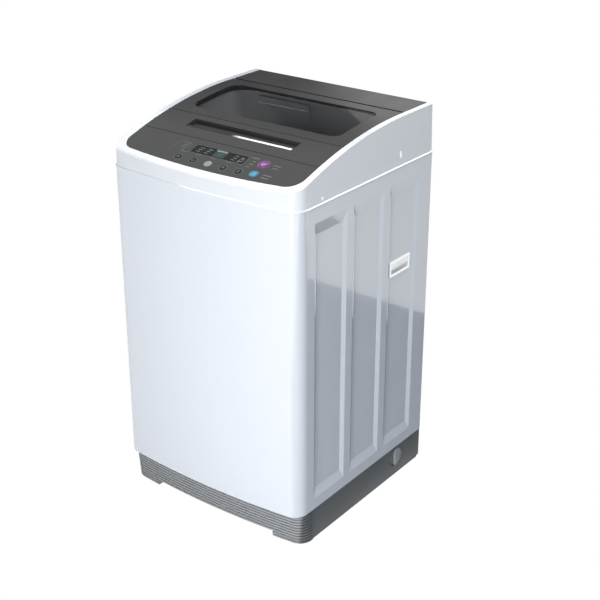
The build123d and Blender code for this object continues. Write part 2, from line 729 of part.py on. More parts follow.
def control_panel_plan():
    face = dark_plan(EDGE_GAP)
    back = SEAM_FRONT_Y - GAP / 2
    keep = Pos(0, (back + FRONT_Y) / 2) * Rectangle(WIDTH, back - FRONT_Y)
    return (face & keep).face()


def keys():
    """Name, x, y and radius of every key on the panel."""
    row = [(f"function_button_{i + 1}", KEY_FIRST_X + i * KEY_PITCH, KEY_ROW_Y, KEY_RADIUS)
           for i in range(KEY_COUNT)]
    return row + [("program_button", PROGRAM_X, PROGRAM_Y, PROGRAM_RADIUS),
                  ("power_button", POWER_X, POWER_Y, POWER_RADIUS)]


def display_plane():
    return on_crown((DISPLAY_X0 + DISPLAY_X1) / 2, (DISPLAY_Y0 + DISPLAY_Y1) / 2)


def display_size():
    tilt = asin((CROWN_FLAT_Y - (DISPLAY_Y0 + DISPLAY_Y1) / 2) / CROWN_RADIUS)
    return DISPLAY_WIDTH, DISPLAY_LENGTH / cos(tilt)


def control_panel():
    panel = panel_board(control_panel_plan(), DECK_DEPTH, PANEL_RIM)
    for _, x, y, radius in keys():
        hole = Cylinder(radius + KEY_CLEARANCE, 2 * BOARD_DEPTH)
        panel = panel - on_crown(x, y) * hole
    wide, deep = display_size()
    return panel - display_plane() * Box(wide, deep, 2 * BOARD_DEPTH)


def display_window():
    """Smoked display lens, snapped into the panel from below."""
    wide, deep = display_size()
    lens = Pos(0, 0, -PANEL_SKIN - 1.0) * Box(wide, deep, PANEL_SKIN + 0.7, align=UP)
    backing = Pos(0, 0, -PANEL_SKIN - 3.0) * Box(wide + 8, deep + 5, 2.6, align=UP)
    return display_plane() * lens + (display_plane() * backing & under_crown(PANEL_SKIN))


def control_board():
    """Circuit board under the keys, on posts that stand on the deck."""
    x0, x1 = KEY_FIRST_X - BOARD_MARGIN, PROGRAM_X + BOARD_MARGIN
    y0, y1 = KEY_ROW_Y - BOARD_FRONT_MARGIN, SEAM_FRONT_Y - BOARD_BACK_MARGIN
    board = prism(rounded_rect(x0, x1, y0, y1, BOARD_CORNER), LOW, TALL)
    board = board & (under_crown(BOARD_DEPTH) - under_crown(BOARD_DEPTH + BOARD_THICK))
    posts = [rod_z(x, y, LOW, TALL, BOARD_POST_R)
             for x in (x0 + BOARD_POST_IN, (x0 + x1) / 2, x1 - BOARD_POST_IN)
             for y in (y0 + BOARD_POST_IN, y1 - BOARD_POST_IN)]
    legs = join(posts) & (under_crown(BOARD_DEPTH) - under_crown(DECK_DEPTH))
    return board + legs


def button(x, y, radius):
    """One key: cap, retaining flange under the panel skin and a short stem."""
    cap_depth = PANEL_SKIN + KEY_TRAVEL
    cap = Pos(0, 0, -cap_depth) * Cylinder(radius, cap_depth + KEY_PROUD, align=UP)
    cap = chamfer(cap.edges().sort_by(Axis.Z)[-1], KEY_EDGE)
    flange = Pos(0, 0, -cap_depth) * Cylinder(radius + KEY_FLANGE, KEY_FLANGE_THICK, align=UP)
    stem_end = BOARD_DEPTH - KEY_TRAVEL - KEY_BOARD_GAP
    stem = Pos(0, 0, -stem_end) * Cylinder(KEY_STEM_RADIUS, stem_end - PANEL_SKIN, align=UP)
    return on_crown(x, y) * (cap + flange + stem)


def rear_fascia():
    back = BACK_Y - EDGE_GAP
    front = SEAM_REAR_Y + GAP / 2
    half = lid_half()
    board = block(-half, half, front, back, HEIGHT - DECK_DEPTH, HEIGHT)
    hollow = block(-half + PANEL_RIM, half - PANEL_RIM, front + PANEL_RIM, back - PANEL_RIM,
                   HEIGHT - DECK_DEPTH - 1, HEIGHT - PANEL_SKIN)
    return fillet((board - hollow).edges().filter_by(Axis.X).sort_by(
        lambda e: -e.center().Z - e.center().Y)[0], PANEL_RIM)


# ---- lid ------------------------------------------------------------------
def hinge_y():
    return SEAM_REAR_Y - GAP / 2 - BARREL_RADIUS


def hinge_z():
    return HEIGHT - BARREL_RADIUS


def lid_half():
    return HALF - RIM_SIDE - EDGE_GAP


def window_plan(grow):
    return rounded_rect(-WINDOW_HALF - grow, WINDOW_HALF + grow, WINDOW_FRONT_Y - grow,
                        WINDOW_BACK_Y + grow, WINDOW_CORNER + grow)


def fold_z():
    """The fold pins lie level with the lower edge of the skirts."""
    return crown_z(SEAM_FOLD_Y, LID_DEPTH)


def lid_frame():
    """Rear part of the folding lid: window frame, hinge barrel and fold eyes."""
    half = lid_half()
    front = SEAM_FOLD_Y + GAP / 2
    solid_from = hinge_y() - BARREL_SOLID
    board = crown_slab(0, LID_DEPTH, front, hinge_y(), half)
    hollow = crown_slab(PANEL_SKIN, 2 * LID_DEPTH, front + PANEL_RIM, solid_from,
                        half - PANEL_RIM)
    lid = board - hollow
    ledge = WINDOW_SINK + WINDOW_THICK
    stiffener = prism(window_plan(WINDOW_LEDGE + WELL_WALL) - window_plan(0), LOW, TALL)
    stiffener = stiffener & crown_slab(PANEL_SKIN - 0.5, ledge + 2.2, front, solid_from + 1, half)
    lid = lid + stiffener
    lid = lid - (prism(window_plan(0), LOW, TALL) - under_crown(ledge))
    lid = lid - (prism(window_plan(-WINDOW_LEDGE), LOW, TALL))
    lid = lid + rod_x(-half, half, hinge_y(), hinge_z(), BARREL_RADIUS)
    end = block(HINGE_ARM_IN - HINGE_ROOM, half + 5, solid_from - 1, SEAM_REAR_Y + 5, LOW,
                HEIGHT - PANEL_SKIN) - rod_x(0, HALF, hinge_y(), hinge_z(), BARREL_RADIUS)
    core = block(HINGE_ARM_IN - HINGE_ROOM, half + 5, hinge_y() - BARREL_RADIUS - 1,
                 SEAM_REAR_Y + 5, LOW, hinge_z() + BARREL_RADIUS * sin(radians(28)))
    core = core + rod_x(HINGE_ARM_IN - HINGE_ROOM, half + 5, hinge_y(), hinge_z(),
                        BARREL_RADIUS - PANEL_SKIN)
    lid = lid - end - mirrored(end) - core - mirrored(core)
    bore = rod_x(HINGE_ARM_IN - PIN_BED, HALF, hinge_y(), hinge_z(), PIN_RADIUS)
    lid = lid - bore - mirrored(bore)
    eye = rod_x(EYE_INNER, EYE_OUTER, SEAM_FOLD_Y, fold_z(), FOLD_EYE_RADIUS)
    arm = block(EYE_INNER, EYE_OUTER, SEAM_FOLD_Y, front + PANEL_RIM, fold_z(),
                fold_z() + FOLD_EYE_RADIUS)
    notch = block(EYE_OUTER, EAR_OUTER + FOLD_ROOM, front - 1, front + 2 * PANEL_RIM, LOW,
                  crown_z(SEAM_FOLD_Y, PANEL_SKIN + 0.5))
    pin_hole = rod_x(EYE_INNER - 1, EYE_OUTER + 1, SEAM_FOLD_Y, fold_z(), PIN_RADIUS)
    side = eye + arm
    lid = lid + side + mirrored(side)
    lid = lid - notch - mirrored(notch) - pin_hole - mirrored(pin_hole)
    return lid


def lid_window():
    glass = prism(window_plan(-0.3), LOW, TALL)
    return glass & (under_crown(WINDOW_SINK) - under_crown(WINDOW_SINK + WINDOW_THICK))


def lid_pins():
    """Steel pins: two in the rear barrel, two at the fold."""
    rear = rod_x(HINGE_ARM_IN - PIN_BED, HINGE_ARM_OUT, hinge_y(), hinge_z(), PIN_RADIUS)
    fold = rod_x(EYE_INNER, EAR_OUTER, SEAM_FOLD_Y, fold_z(), PIN_RADIUS)
    return Compound(children=[rear, mirrored(rear), fold, mirrored(fold)])


def hinge_brackets():
    """Uprights on the deck that carry the lid's rear pins."""
    deck = HEIGHT - DECK_DEPTH
    radius = BARREL_RADIUS - PANEL_SKIN - 0.5
    eye = rod_x(HINGE_ARM_IN, HINGE_ARM_OUT, hinge_y(), hinge_z(), radius)
    neck = block(HINGE_ARM_IN, HINGE_ARM_OUT, hinge_y() - radius, hinge_y(), deck, hinge_z())
    foot = block(HINGE_ARM_IN - HANDLE_WALL, HINGE_ARM_OUT, hinge_y() - BARREL_SOLID, hinge_y(),
                 deck, deck + HANDLE_WALL)
    bore = rod_x(HINGE_ARM_IN - 1, HINGE_ARM_OUT + 1, hinge_y(), hinge_z(),
                 PIN_RADIUS + SHAFT_CLEARANCE)
    return both_sides(eye + neck + foot - bore)


def handle_plan(grow):
    return rounded_rect(-HANDLE_HALF - grow, HANDLE_HALF + grow, HANDLE_FRONT_Y - grow,
                        HANDLE_BACK_Y + grow, HANDLE_CORNER + grow)


def lid_front_panel():
    """Front part of the lid: finger recess, skirts and fold eyes."""
    half = lid_half()
    front = SEAM_FRONT_Y + GAP / 2
    back = SEAM_FOLD_Y - GAP / 2
    board = crown_slab(0, LID_DEPTH, front, back, half)
    hollow = crown_slab(PANEL_SKIN, 2 * LID_DEPTH, front + PANEL_RIM, back - PANEL_RIM,
                        half - PANEL_RIM)
    well = prism(handle_plan(HANDLE_WALL), LOW, TALL)
    well = well & crown_slab(PANEL_SKIN - 1, HANDLE_SINK + HANDLE_WALL, front, back, half)
    recess = prism(handle_plan(0), LOW, TALL) - under_crown(HANDLE_SINK)
    panel = board - hollow + well - recess
    notch = block(EYE_INNER - FOLD_ROOM, EAR_INNER, back - 2 * PANEL_RIM, back + 1, LOW,
                  crown_z(SEAM_FOLD_Y, PANEL_SKIN + 0.5))
    ear = rod_x(EAR_INNER, EAR_OUTER, SEAM_FOLD_Y, fold_z(), FOLD_EYE_RADIUS)
    arm = block(EAR_INNER, EAR_OUTER, back - PANEL_RIM - 1, SEAM_FOLD_Y,
                fold_z() - FOLD_EYE_RADIUS, fold_z() + FOLD_EYE_RADIUS)
    bore = rod_x(EAR_INNER - 1, EAR_OUTER + 1, SEAM_FOLD_Y, fold_z(),
                 PIN_RADIUS + SHAFT_CLEARANCE)
    side = ear + arm
    panel = panel - notch - mirrored(notch) + side + mirrored(side)
    return panel - bore - mirrored(bore)


def handle_strip():
    """Bright trim along the front edge of the finger recess."""
    end = HANDLE_HALF - STRIP_END
    strip = block(-end, end, HANDLE_FRONT_Y, HANDLE_FRONT_Y + STRIP_WIDTH, LOW, TALL)
    return strip & (under_crown(0.4) - under_crown(HANDLE_SINK))


# ---- rear compartment -----------------------------------------------------
def deck_under_z():
    return HEIGHT - DECK_DEPTH - COVER_WALL


def drawer_top_z():
    return deck_under_z() - DRAWER_HEAD


def drawer_front_y():
    return OPENING_BACK_Y - DRAWER_PROUD


def drawer_housing():
    """Box under the rear deck that holds the drawer and lets water fall through."""
    wall = DRAWER_WALL
    front = OPENING_BACK_Y + RUN_GAP
    back = drawer_front_y() + DRAWER_LENGTH + DRAWER_STOP
    x0, x1, z0 = DRAWER_X0 - DRAWER_GAP, DRAWER_X1 + DRAWER_GAP, DRAWER_Z0 - DRAWER_GAP
    outer = block(x0 - wall, x1 + wall, front, back, z0 - wall, deck_under_z())
    inner = block(x0, x1, front - 1, back - wall, z0, deck_under_z() - wall)
    spout = block(DRAWER_X1 - SPOUT_LENGTH - LIP_REACH, DRAWER_X1 - LIP_REACH,
                  front + DRAWER_STOP, front + DRAWER_STOP + SPOUT_WIDTH, LOW, DRAWER_Z0)
    return outer - inner - spout


def detergent_drawer():
    """Sliding tray with two wells, a front plate and a finger lip."""
    front = drawer_front_y()
    tray_y0, tray_y1 = front + DRAWER_PLATE, front + DRAWER_LENGTH
    tray = block(DRAWER_X0, DRAWER_X1, tray_y0, tray_y1, DRAWER_Z0,
                 drawer_top_z() - DRAWER_TRAY_DROP)
    wide = (DRAWER_WIDTH - 3 * DRAWER_WALL) / 2
    for i in range(2):
        x0 = DRAWER_X0 + DRAWER_WALL + i * (wide + DRAWER_WALL)
        tray = tray - block(x0, x0 + wide, tray_y0 + DRAWER_WALL, tray_y1 - DRAWER_WALL,
                            DRAWER_Z0 + DRAWER_WALL, TALL)
    plate = block(DRAWER_X0, DRAWER_X1, front, tray_y0, DRAWER_Z0, drawer_top_z())
    plate = fillet(plate.edges().filter_by(Axis.Y), DRAWER_PLATE)
    middle = (DRAWER_X0 + DRAWER_X1) / 2
    lip = block(middle - LIP_HALF, middle + LIP_HALF, front - LIP_REACH, front,
                DRAWER_Z0 + LIP_RISE, DRAWER_Z0 + LIP_RISE + LIP_HEIGHT)
    return tray + plate + lip


def inlet_thread_y():
    """Where the hose thread starts, clear of the pocket's wall."""
    return BACK_Y - INLET_POCKET + INLET_NECK


def inlet_valve():
    """Solenoid valve with its threaded hose nipple in the rear pocket."""
    wall_y = BACK_Y - INLET_POCKET - COVER_WALL
    axis_y = wall_y - VALVE_BODY_LENGTH / 2
    body = block(INLET_X - VALVE_HALF, INLET_X + VALVE_HALF, wall_y - VALVE_BODY_LENGTH, wall_y,
                 INLET_Z - VALVE_BODY_HALF, INLET_Z + VALVE_BODY_HALF)
    coil = rod_z(INLET_X, axis_y, INLET_Z + VALVE_BODY_HALF, deck_under_z(), COIL_R)
    neck = rod_y(INLET_X, wall_y, inlet_thread_y(), INLET_Z, INLET_NECK_R)
    thread_end = inlet_thread_y() + INLET_THREAD_LENGTH
    thread = rod_y(INLET_X, inlet_thread_y(), thread_end, INLET_Z, INLET_THREAD_R)
    bore = rod_y(INLET_X, wall_y - DUCT_R, thread_end + 1, INLET_Z, INLET_BORE_R)
    duct = rod_x(DRAWER_X1 + DRAWER_GAP + DRAWER_WALL, INLET_X - VALVE_HALF, axis_y,
                 INLET_Z + DUCT_RISE, DUCT_R)
    return body + coil + neck + thread + duct - bore


def pressure_sensor():
    """Water level sensor under the rear deck, with its air nipple."""
    x, y = HALF - SENSOR_SIDE, BACK_Y - SENSOR_BACK
    can_z = deck_under_z() - SENSOR_HEIGHT
    can = rod_z(x, y, can_z, deck_under_z(), SENSOR_R)
    nipple = rod_z(x, y, can_z - SENSOR_NIPPLE, can_z, SENSOR_NIPPLE_R)
    return can + nipple


# ---- cabinet --------------------------------------------------------------
def pan(y0, grow, side_x):
    """One pressed panel in the side wall: a bevelled tray, sunk from side_x."""
    z0, z1 = PANEL_Z0, PANEL_Z1
    y1 = y0 + PANEL_WIDTH
    outer = Plane(origin=(side_x, (y0 + y1) / 2, (z0 + z1) / 2), x_dir=(0, 1, 0),
                  z_dir=(-1, 0, 0))
    shift = (PANEL_BEVEL_BOTTOM - PANEL_BEVEL_TOP) / 2
    floor_plane = outer.offset(PANEL_DEPTH)
    top = outer * Rectangle(PANEL_WIDTH, z1 - z0)
    floor = floor_plane * Pos(0, -shift) * Rectangle(
        PANEL_WIDTH - 2 * PANEL_BEVEL, z1 - z0 - PANEL_BEVEL_TOP - PANEL_BEVEL_BOTTOM)
    tray = loft([top.face(), floor.face()])
    return Pos(-grow, 0, 0) * tray if grow else tray


def cabinet_side_x():
    return HALF - COVER_LIP


def cabinet():
    """Wrapped steel cabinet, open at the back and the bottom, with pressed sides."""
    side = cabinet_side_x()
    front = FRONT_Y + COVER_LIP
    outer = prism(plan(front, side, BACK_SHEET_Y, CORNER_RADIUS - COVER_LIP, BACK_CORNER_RADIUS),
                  PLINTH_Z, SEAM_Z)
    inner = prism(plan(front + SHEET, side - SHEET, BACK_SHEET_Y - SHEET,
                       CORNER_RADIUS - COVER_LIP - SHEET, BACK_CORNER_RADIUS - SHEET),
                  PLINTH_Z + SHEET, SEAM_Z - SHEET)
    for i in range(PANEL_COUNT):
        y0 = PANEL_FIRST_Y + i * PANEL_PITCH
        dent = pan(y0, 0, side)
        bump = pan(y0, SHEET, side)
        outer = outer - dent - mirrored(dent)
        inner = inner - bump - mirrored(bump)
    shell = outer - inner
    mouth = plan(front + CABINET_MOUTH, side - CABINET_MOUTH, BACK_SHEET_Y - CABINET_MOUTH,
                 MOUTH_CORNER, BACK_CORNER_RADIUS)
    for z in (SEAM_Z, PLINTH_Z):
        shell = shell - prism(mouth, z - 2 * SHEET, z + 2 * SHEET)
    shell = shell - block(-side + BACK_FLANGE, side - BACK_FLANGE, BACK_SHEET_Y - 2 * SHEET,
                          BACK_SHEET_Y + SHEET, PLINTH_Z + BACK_FLANGE, SEAM_Z - BACK_FLANGE)
    grip = block(side - GRIP_DEPTH, HALF, GRIP_Y0 + GRIP_FRAME, GRIP_Y1 - GRIP_FRAME,
                 GRIP_Z0 + GRIP_FRAME, GRIP_Z1 - GRIP_FRAME)
    return shell - grip - mirrored(grip) - screw_holes()


def side_grip():
    """Moulded hand hold: a frame on the sunk panel and a cup behind it."""
    face_x = cabinet_side_x() - PANEL_DEPTH
    y0, y1 = GRIP_Y0 + GRIP_FRAME, GRIP_Y1 - GRIP_FRAME
    z0, z1 = GRIP_Z0 + GRIP_FRAME, GRIP_Z1 - GRIP_FRAME
    frame = block(face_x, face_x + GRIP_PROUD, GRIP_Y0, GRIP_Y1, GRIP_Z0, GRIP_Z1)
    frame = fillet(frame.edges().filter_by(Axis.X), GRIP_CORNER)
    cup = block(face_x - GRIP_DEPTH, face_x + GRIP_PROUD / 2, y0, y1, z0, z1)
    hollow = block(face_x - GRIP_DEPTH + GRIP_WALL, HALF, y0 + GRIP_WALL, y1 - GRIP_WALL,
                   z0 + GRIP_WALL, z1 - GRIP_WALL)
    return frame + cup - hollow


def back_panel():
    """Screwed rear cover with pressed ribs and a row of vent slots."""
    half = cabinet_side_x() - BACK_PANEL_IN
    z0, z1 = PLINTH_Z + BACK_PANEL_IN, SEAM_Z - BACK_PANEL_IN
    sheet = block(-half, half, BACK_SHEET_Y, BACK_SHEET_Y + SHEET, z0, z1)
    for i in range(BACK_RIB_COUNT):
        x = (i - (BACK_RIB_COUNT - 1) / 2) * BACK_RIB_PITCH
        rib_z0, rib_z1 = z0 + BACK_RIB_BELOW, z1 - BACK_RIB_ABOVE
        rib = block(x - BACK_RIB_HALF, x + BACK_RIB_HALF, BACK_SHEET_Y - BACK_RIB_DEPTH,
                    BACK_SHEET_Y + SHEET, rib_z0, rib_z1)
        groove = block(x - BACK_RIB_HALF + SHEET, x + BACK_RIB_HALF - SHEET,
                       BACK_SHEET_Y - BACK_RIB_DEPTH + SHEET, BACK_Y, rib_z0 + SHEET,
                       rib_z1 - SHEET)
        sheet = sheet + rib - groove
    for i in range(VENT_COUNT):
        z = z1 - BACK_RIB_BELOW - i * VENT_PITCH
        sheet = sheet - block(-VENT_HALF, VENT_HALF, BACK_SHEET_Y - SHEET, BACK_Y, z,
                              z + VENT_HEIGHT)
    sheet = sheet - rod_y(GLAND_X, BACK_SHEET_Y - SHEET, BACK_Y, GLAND_Z, GLAND_R)
    return sheet - screw_holes()


def cord_gland():
    """Rubber grommet where the mains lead would pass."""
    face = BACK_SHEET_Y + SHEET
    body = rod_y(GLAND_X, BACK_SHEET_Y - GLAND_DEPTH, face, GLAND_Z, GLAND_R)
    head = rod_y(GLAND_X, face, face + SCREW_HEAD_H, GLAND_Z, GLAND_R + GLAND_FLANGE)
    return body + head - rod_y(GLAND_X, BACK_SHEET_Y - GLAND_DEPTH - 1, BACK_Y, GLAND_Z,
                               GLAND_BORE)


def back_screw_spots():
    x_out = cabinet_side_x() - BACK_SCREW_SIDE
    low, high = PLINTH_Z + BACK_SCREW_END, SEAM_Z - BACK_SCREW_END
    spots = [(x, z) for x in (-x_out, 0, x_out) for z in (low, high)]
    return spots + [(x, PLINTH_Z + i * BACK_SCREW_PITCH) for x in (-x_out, x_out) for i in (1, 2)]


def screw_holes():
    return [rod_y(x, BACK_SHEET_Y - SCREW_LENGTH, BACK_Y, z, SCREW_R)
            for x, z in back_screw_spots()]


def casing_screws():
    """Screws of the casing: round the back panel and low in the cover's sides."""
    head_y = BACK_SHEET_Y + SHEET
    screws = []
    for x, z in back_screw_spots():
        head = rod_y(x, head_y, head_y + SCREW_HEAD_H, z, SCREW_HEAD_R)
        shank = rod_y(x, head_y - SCREW_LENGTH, head_y, z, SCREW_R)
        screws.append(head + shank)
    head = rod_x(SIDE_SCREW_X, SIDE_SCREW_X + SCREW_HEAD_H, SIDE_SCREW_Y, SIDE_SCREW_Z,
                 SCREW_HEAD_R)
    shank = rod_x(SIDE_SCREW_X - SCREW_LENGTH, SIDE_SCREW_X, SIDE_SCREW_Y, SIDE_SCREW_Z, SCREW_R)
    return Compound(children=screws + [head + shank, mirrored(head + shank)])


def capacitor():
    """Motor capacitor in a strap on the back panel."""
    x = -HALF + CAPACITOR_SIDE
    rib_face = BACK_SHEET_Y - BACK_RIB_DEPTH
    z0 = PLINTH_Z + CAPACITOR_RISE
    can = rod_z(x, rib_face - CAPACITOR_R - 2 * SHEET, z0, z0 + CAPACITOR_HEIGHT, CAPACITOR_R)
    strap_z = z0 + (CAPACITOR_HEIGHT - CAPACITOR_STRAP) / 2
    strap = block(x - CAPACITOR_R - 5 * SHEET, x + CAPACITOR_R + 5 * SHEET,
                  rib_face - 4 * SHEET, rib_face, strap_z, strap_z + CAPACITOR_STRAP)
    return can + strap


# ---- plinth ---------------------------------------------------------------
def plinth_plan(z, inset):
    """Plan of the plinth at height z: the front is raked back to the floor."""
    fall = (PLINTH_Z - z) / (PLINTH_Z - SKIRT_Z)
    front = FRONT_Y + COVER_LIP + PLINTH_TOP_INSET + PLINTH_RAKE * fall + inset
    half = HALF - COVER_LIP - PLINTH_SIDE_INSET - inset
    return plan(front, half, BACK_SHEET_Y - inset, PLINTH_CORNER - inset)


def plinth_solid(z0, z1, inset):
    return loft([Pos(0, 0, z0) * plinth_plan(z0, inset), Pos(0, 0, z1) * plinth_plan(z1, inset)])


def base():
    """Moulded plinth: raked and ribbed front, plain sides, corner blocks with sockets."""
    core = plinth_solid(FOOT_BLOCK_Z, PLINTH_Z, 0)
    void = plinth_solid(FOOT_BLOCK_Z - 1, PLINTH_Z + 1, PLINTH_WALL + RIB_DEPTH)
    shell = core - void
    for i in range(RIB_COUNT):
        z0 = PLINTH_Z - (i + 1) * RIB_PITCH
        inner = plinth_solid(z0, z0 + RIB_GAP, RIB_DEPTH)
        groove = block(-HALF, HALF, FRONT_Y, RIB_END_Y, z0, z0 + RIB_GAP) - inner
        shell = shell - groove
    plain = block(plinth_side_x(), HALF, RIB_END_Y + RIB_END_BAND, BACK_Y, 0, PLINTH_Z)
    shell = shell - plain - mirrored(plain)
    shell = shell - block(-FOOT_BLOCK_X, FOOT_BLOCK_X, FRONT_Y, BACK_Y, 0, SKIRT_Z)
    pads = block(FOOT_BLOCK_X, HALF, FRONT_Y, FOOT_BLOCK_Y, FOOT_BLOCK_Z, FOOT_SOCKET_TOP)
    pads = pads + block(FOOT_BLOCK_X, plinth_side_x(), rear_pad_y(), BACK_Y, FOOT_BLOCK_Z,
                        FOOT_SOCKET_TOP)
    pads = pads & plinth_solid(FOOT_BLOCK_Z, FOOT_SOCKET_TOP, RIB_DEPTH)
    shell = shell + pads + mirrored(pads)
    ledge = plan(FRONT_Y + COVER_LIP + PLINTH_TOP_INSET + 1, plinth_side_x() - 1,
                 BACK_SHEET_Y - 1, PLINTH_CORNER) - plan(
        FRONT_Y + PLINTH_TOP_INSET + PLINTH_LEDGE, cabinet_side_x() - PLINTH_LEDGE,
        BACK_SHEET_Y - PLINTH_LEDGE, MOUTH_CORNER)
    shell = shell + prism(ledge, PLINTH_Z - LEDGE_THICK, PLINTH_Z)
    for x, y, radius, room in ((FOOT_X, FOOT_Y, FOOT_RADIUS, FOOT_ROOM),
                               (REAR_FOOT_X, REAR_FOOT_Y, REAR_FOOT_RADIUS, 0)):
        stud = rod_z(x, y, 0, FOOT_SOCKET_TOP + 1, FOOT_STUD_RADIUS + SHAFT_CLEARANCE)
        recess = rod_z(x, y, 0, FOOT_HEIGHT + room, radius + FOOT_ROOM)
        cut = stud + recess
        shell = shell - cut - mirrored(cut)
    notch = block(FOOT_BLOCK_X, HALF, BACK_Y - REAR_NOTCH, BACK_Y, 0,
                  FOOT_BLOCK_Z + REAR_NOTCH_RISE)
    shell = shell - notch - mirrored(notch)
    return shell - rod_x(plinth_side_x() - DRAIN_DEPTH, HALF, DRAIN_Y, DRAIN_Z, DRAIN_RADIUS)


def rear_pad_y():
    return REAR_FOOT_Y - REAR_FOOT_RADIUS - 2 * FOOT_ROOM


def levelling_foot(x):
    """Rubber shod foot on a threaded stud, screwed right in, with its lock nut."""
    pad = rod_z(x, FOOT_Y, 0, FOOT_HEIGHT, FOOT_RADIUS)
    pad = fillet(pad.edges().sort_by(Axis.Z)[-1], FOOT_ROUND)
    nut_z = FOOT_SOCKET_TOP + FOOT_TRAVEL + FOOT_ROOM
    stud = rod_z(x, FOOT_Y, FOOT_HEIGHT, nut_z + FOOT_NUT_H + FOOT_ROOM, FOOT_STUD_RADIUS)
    nut = Pos(x, FOOT_Y, nut_z) * extrude(RegularPolygon(FOOT_NUT_R, 6), amount=FOOT_NUT_H)
    return pad + stud + nut


def rear_feet():
    pad = rod_z(REAR_FOOT_X, REAR_FOOT_Y, 0, FOOT_HEIGHT, REAR_FOOT_RADIUS)
    stem = rod_z(REAR_FOOT_X, REAR_FOOT_Y, FOOT_HEIGHT, FOOT_SOCKET_TOP, FOOT_STUD_RADIUS)
    return both_sides(pad + stem)


def plinth_side_x():
    """Face of the plinth's plain sides."""
    return HALF - COVER_LIP - PLINTH_SIDE_INSET - SIDE_STEP


def drain_socket():
    """Round socket in the plinth's side, with the hose spigot behind it."""
    face = plinth_side_x()
    back = face - DRAIN_DEPTH
    bowl = rod_x(back, face, DRAIN_Y, DRAIN_Z, DRAIN_RADIUS)
    hollow = rod_x(back + DRAIN_WALL, HALF, DRAIN_Y, DRAIN_Z, DRAIN_RADIUS - DRAIN_WALL)
    through = rod_x(back - 1, face, DRAIN_Y, DRAIN_Z, HOSE_R - HOSE_WALL)
    rim = rod_x(face, face + SIDE_STEP / 2, DRAIN_Y, DRAIN_Z, DRAIN_RADIUS + DRAIN_RIM)
    return bowl + rim - hollow - through


def drain_cap():
    """Quarter turn cap: one half is a hollow for the thumb, the other a ribbed grip."""
    face = plinth_side_x()
    radius = DRAIN_RADIUS - DRAIN_WALL - RUN_GAP
    plug = rod_x(face - CAP_DEPTH, face - CAP_SINK, DRAIN_Y, DRAIN_Z, radius)
    grip = rod_x(face - CAP_SINK, face, DRAIN_Y, DRAIN_Z, radius)
    grip = grip & block(0, HALF, DRAIN_Y - CAP_BAR, BACK_Y, 0, PLINTH_Z)
    cap = plug + grip
    pitch = 2 * radius / (CAP_RIB_COUNT + 1)
    for i in range(CAP_RIB_COUNT):
        z = DRAIN_Z - radius + (i + 1) * pitch
        cap = cap - block(face - CAP_RIB, HALF, DRAIN_Y + CAP_BAR, BACK_Y, z - CAP_RIB, z + CAP_RIB)
    return cap


# ---- wash unit ------------------------------------------------------------
def rod_spots():
    return [(sx * ROD_X, TUB_Y + sy * ROD_DY) for sx in (-1, 1) for sy in (-1, 1)]


def corner_brackets():
    """Steel shelves in the cabinet's upper corners that carry the rods."""
    parts = []
    wall = cabinet_side_x() - SHEET
    for x, y in rod_spots():
        side = 1 if x > 0 else -1
        x0, x1 = sorted((side * (ROD_X - BRACKET_ARM), side * wall))
        y0, y1 = y - BRACKET_HALF, y + BRACKET_HALF
        shelf = block(x0, x1, y0, y1, ROD_TOP_Z - BRACKET_THICK, ROD_TOP_Z)
        w0, w1 = sorted((side * (wall - BRACKET_WEB), side * wall))
        web = block(w0, w1, y0, y1, ROD_TOP_Z - BRACKET_THICK, SEAM_Z - SHEET)
        hole = rod_z(x, y, ROD_TOP_Z - 2 * BRACKET_THICK, ROD_TOP_Z + 1, ROD_RADIUS + ROD_ROOM)
        parts.append(shelf + web - hole)
    return Compound(children=parts)


def suspension_rods():
    """Hanging rods: a knob on the shelf above, a washer under the spring below."""
    parts = []
    for x, y in rod_spots():
        rod = rod_z(x, y, ROD_END_Z, ROD_TOP_Z + BRACKET_THICK, ROD_RADIUS)
        knob = rod_z(x, y, ROD_TOP_Z, ROD_TOP_Z + ROD_KNOB_H, ROD_KNOB_R)
        washer = rod_z(x, y, spring_bottom_z() - WASHER_THICK, spring_bottom_z(),
                       SPRING_RADIUS + WASHER_THICK)
        parts.append(rod + knob + washer)
    return Compound(children=parts)


def spring_bottom_z():
    return ROD_END_Z + 2 * WASHER_THICK


def spring_top_z():
    return EAR_Z - CUP_HEIGHT + CUP_SEAT


def suspension_springs():
    height = spring_top_z() - spring_bottom_z() - 2 * SPRING_WIRE_R
    path = Helix(height / SPRING_TURNS, height, SPRING_RADIUS)
    start = path @ 0
    section = Plane(origin=start, z_dir=path % 0) * Circle(SPRING_WIRE_R)
    coil = sweep(section, path=path, is_frenet=True)
    z = spring_bottom_z() + SPRING_WIRE_R
    return Compound(children=[Pos(x, y, z) * coil for x, y in rod_spots()])


def suspension_cups():
    """Damper cups under the tub's ears, over the springs."""
    parts = []
    bottom = EAR_Z - CUP_HEIGHT
    for x, y in rod_spots():
        cup = rod_z(x, y, bottom, EAR_Z, SPRING_RADIUS + CUP_ROOM + CUP_WALL)
        hollow = rod_z(x, y, bottom - 1, bottom + CUP_SEAT, SPRING_RADIUS + CUP_ROOM)
        parts.append(cup - hollow - rod_z(x, y, 0, EAR_Z + 1, ROD_RADIUS + ROD_ROOM))
    return Compound(children=parts)


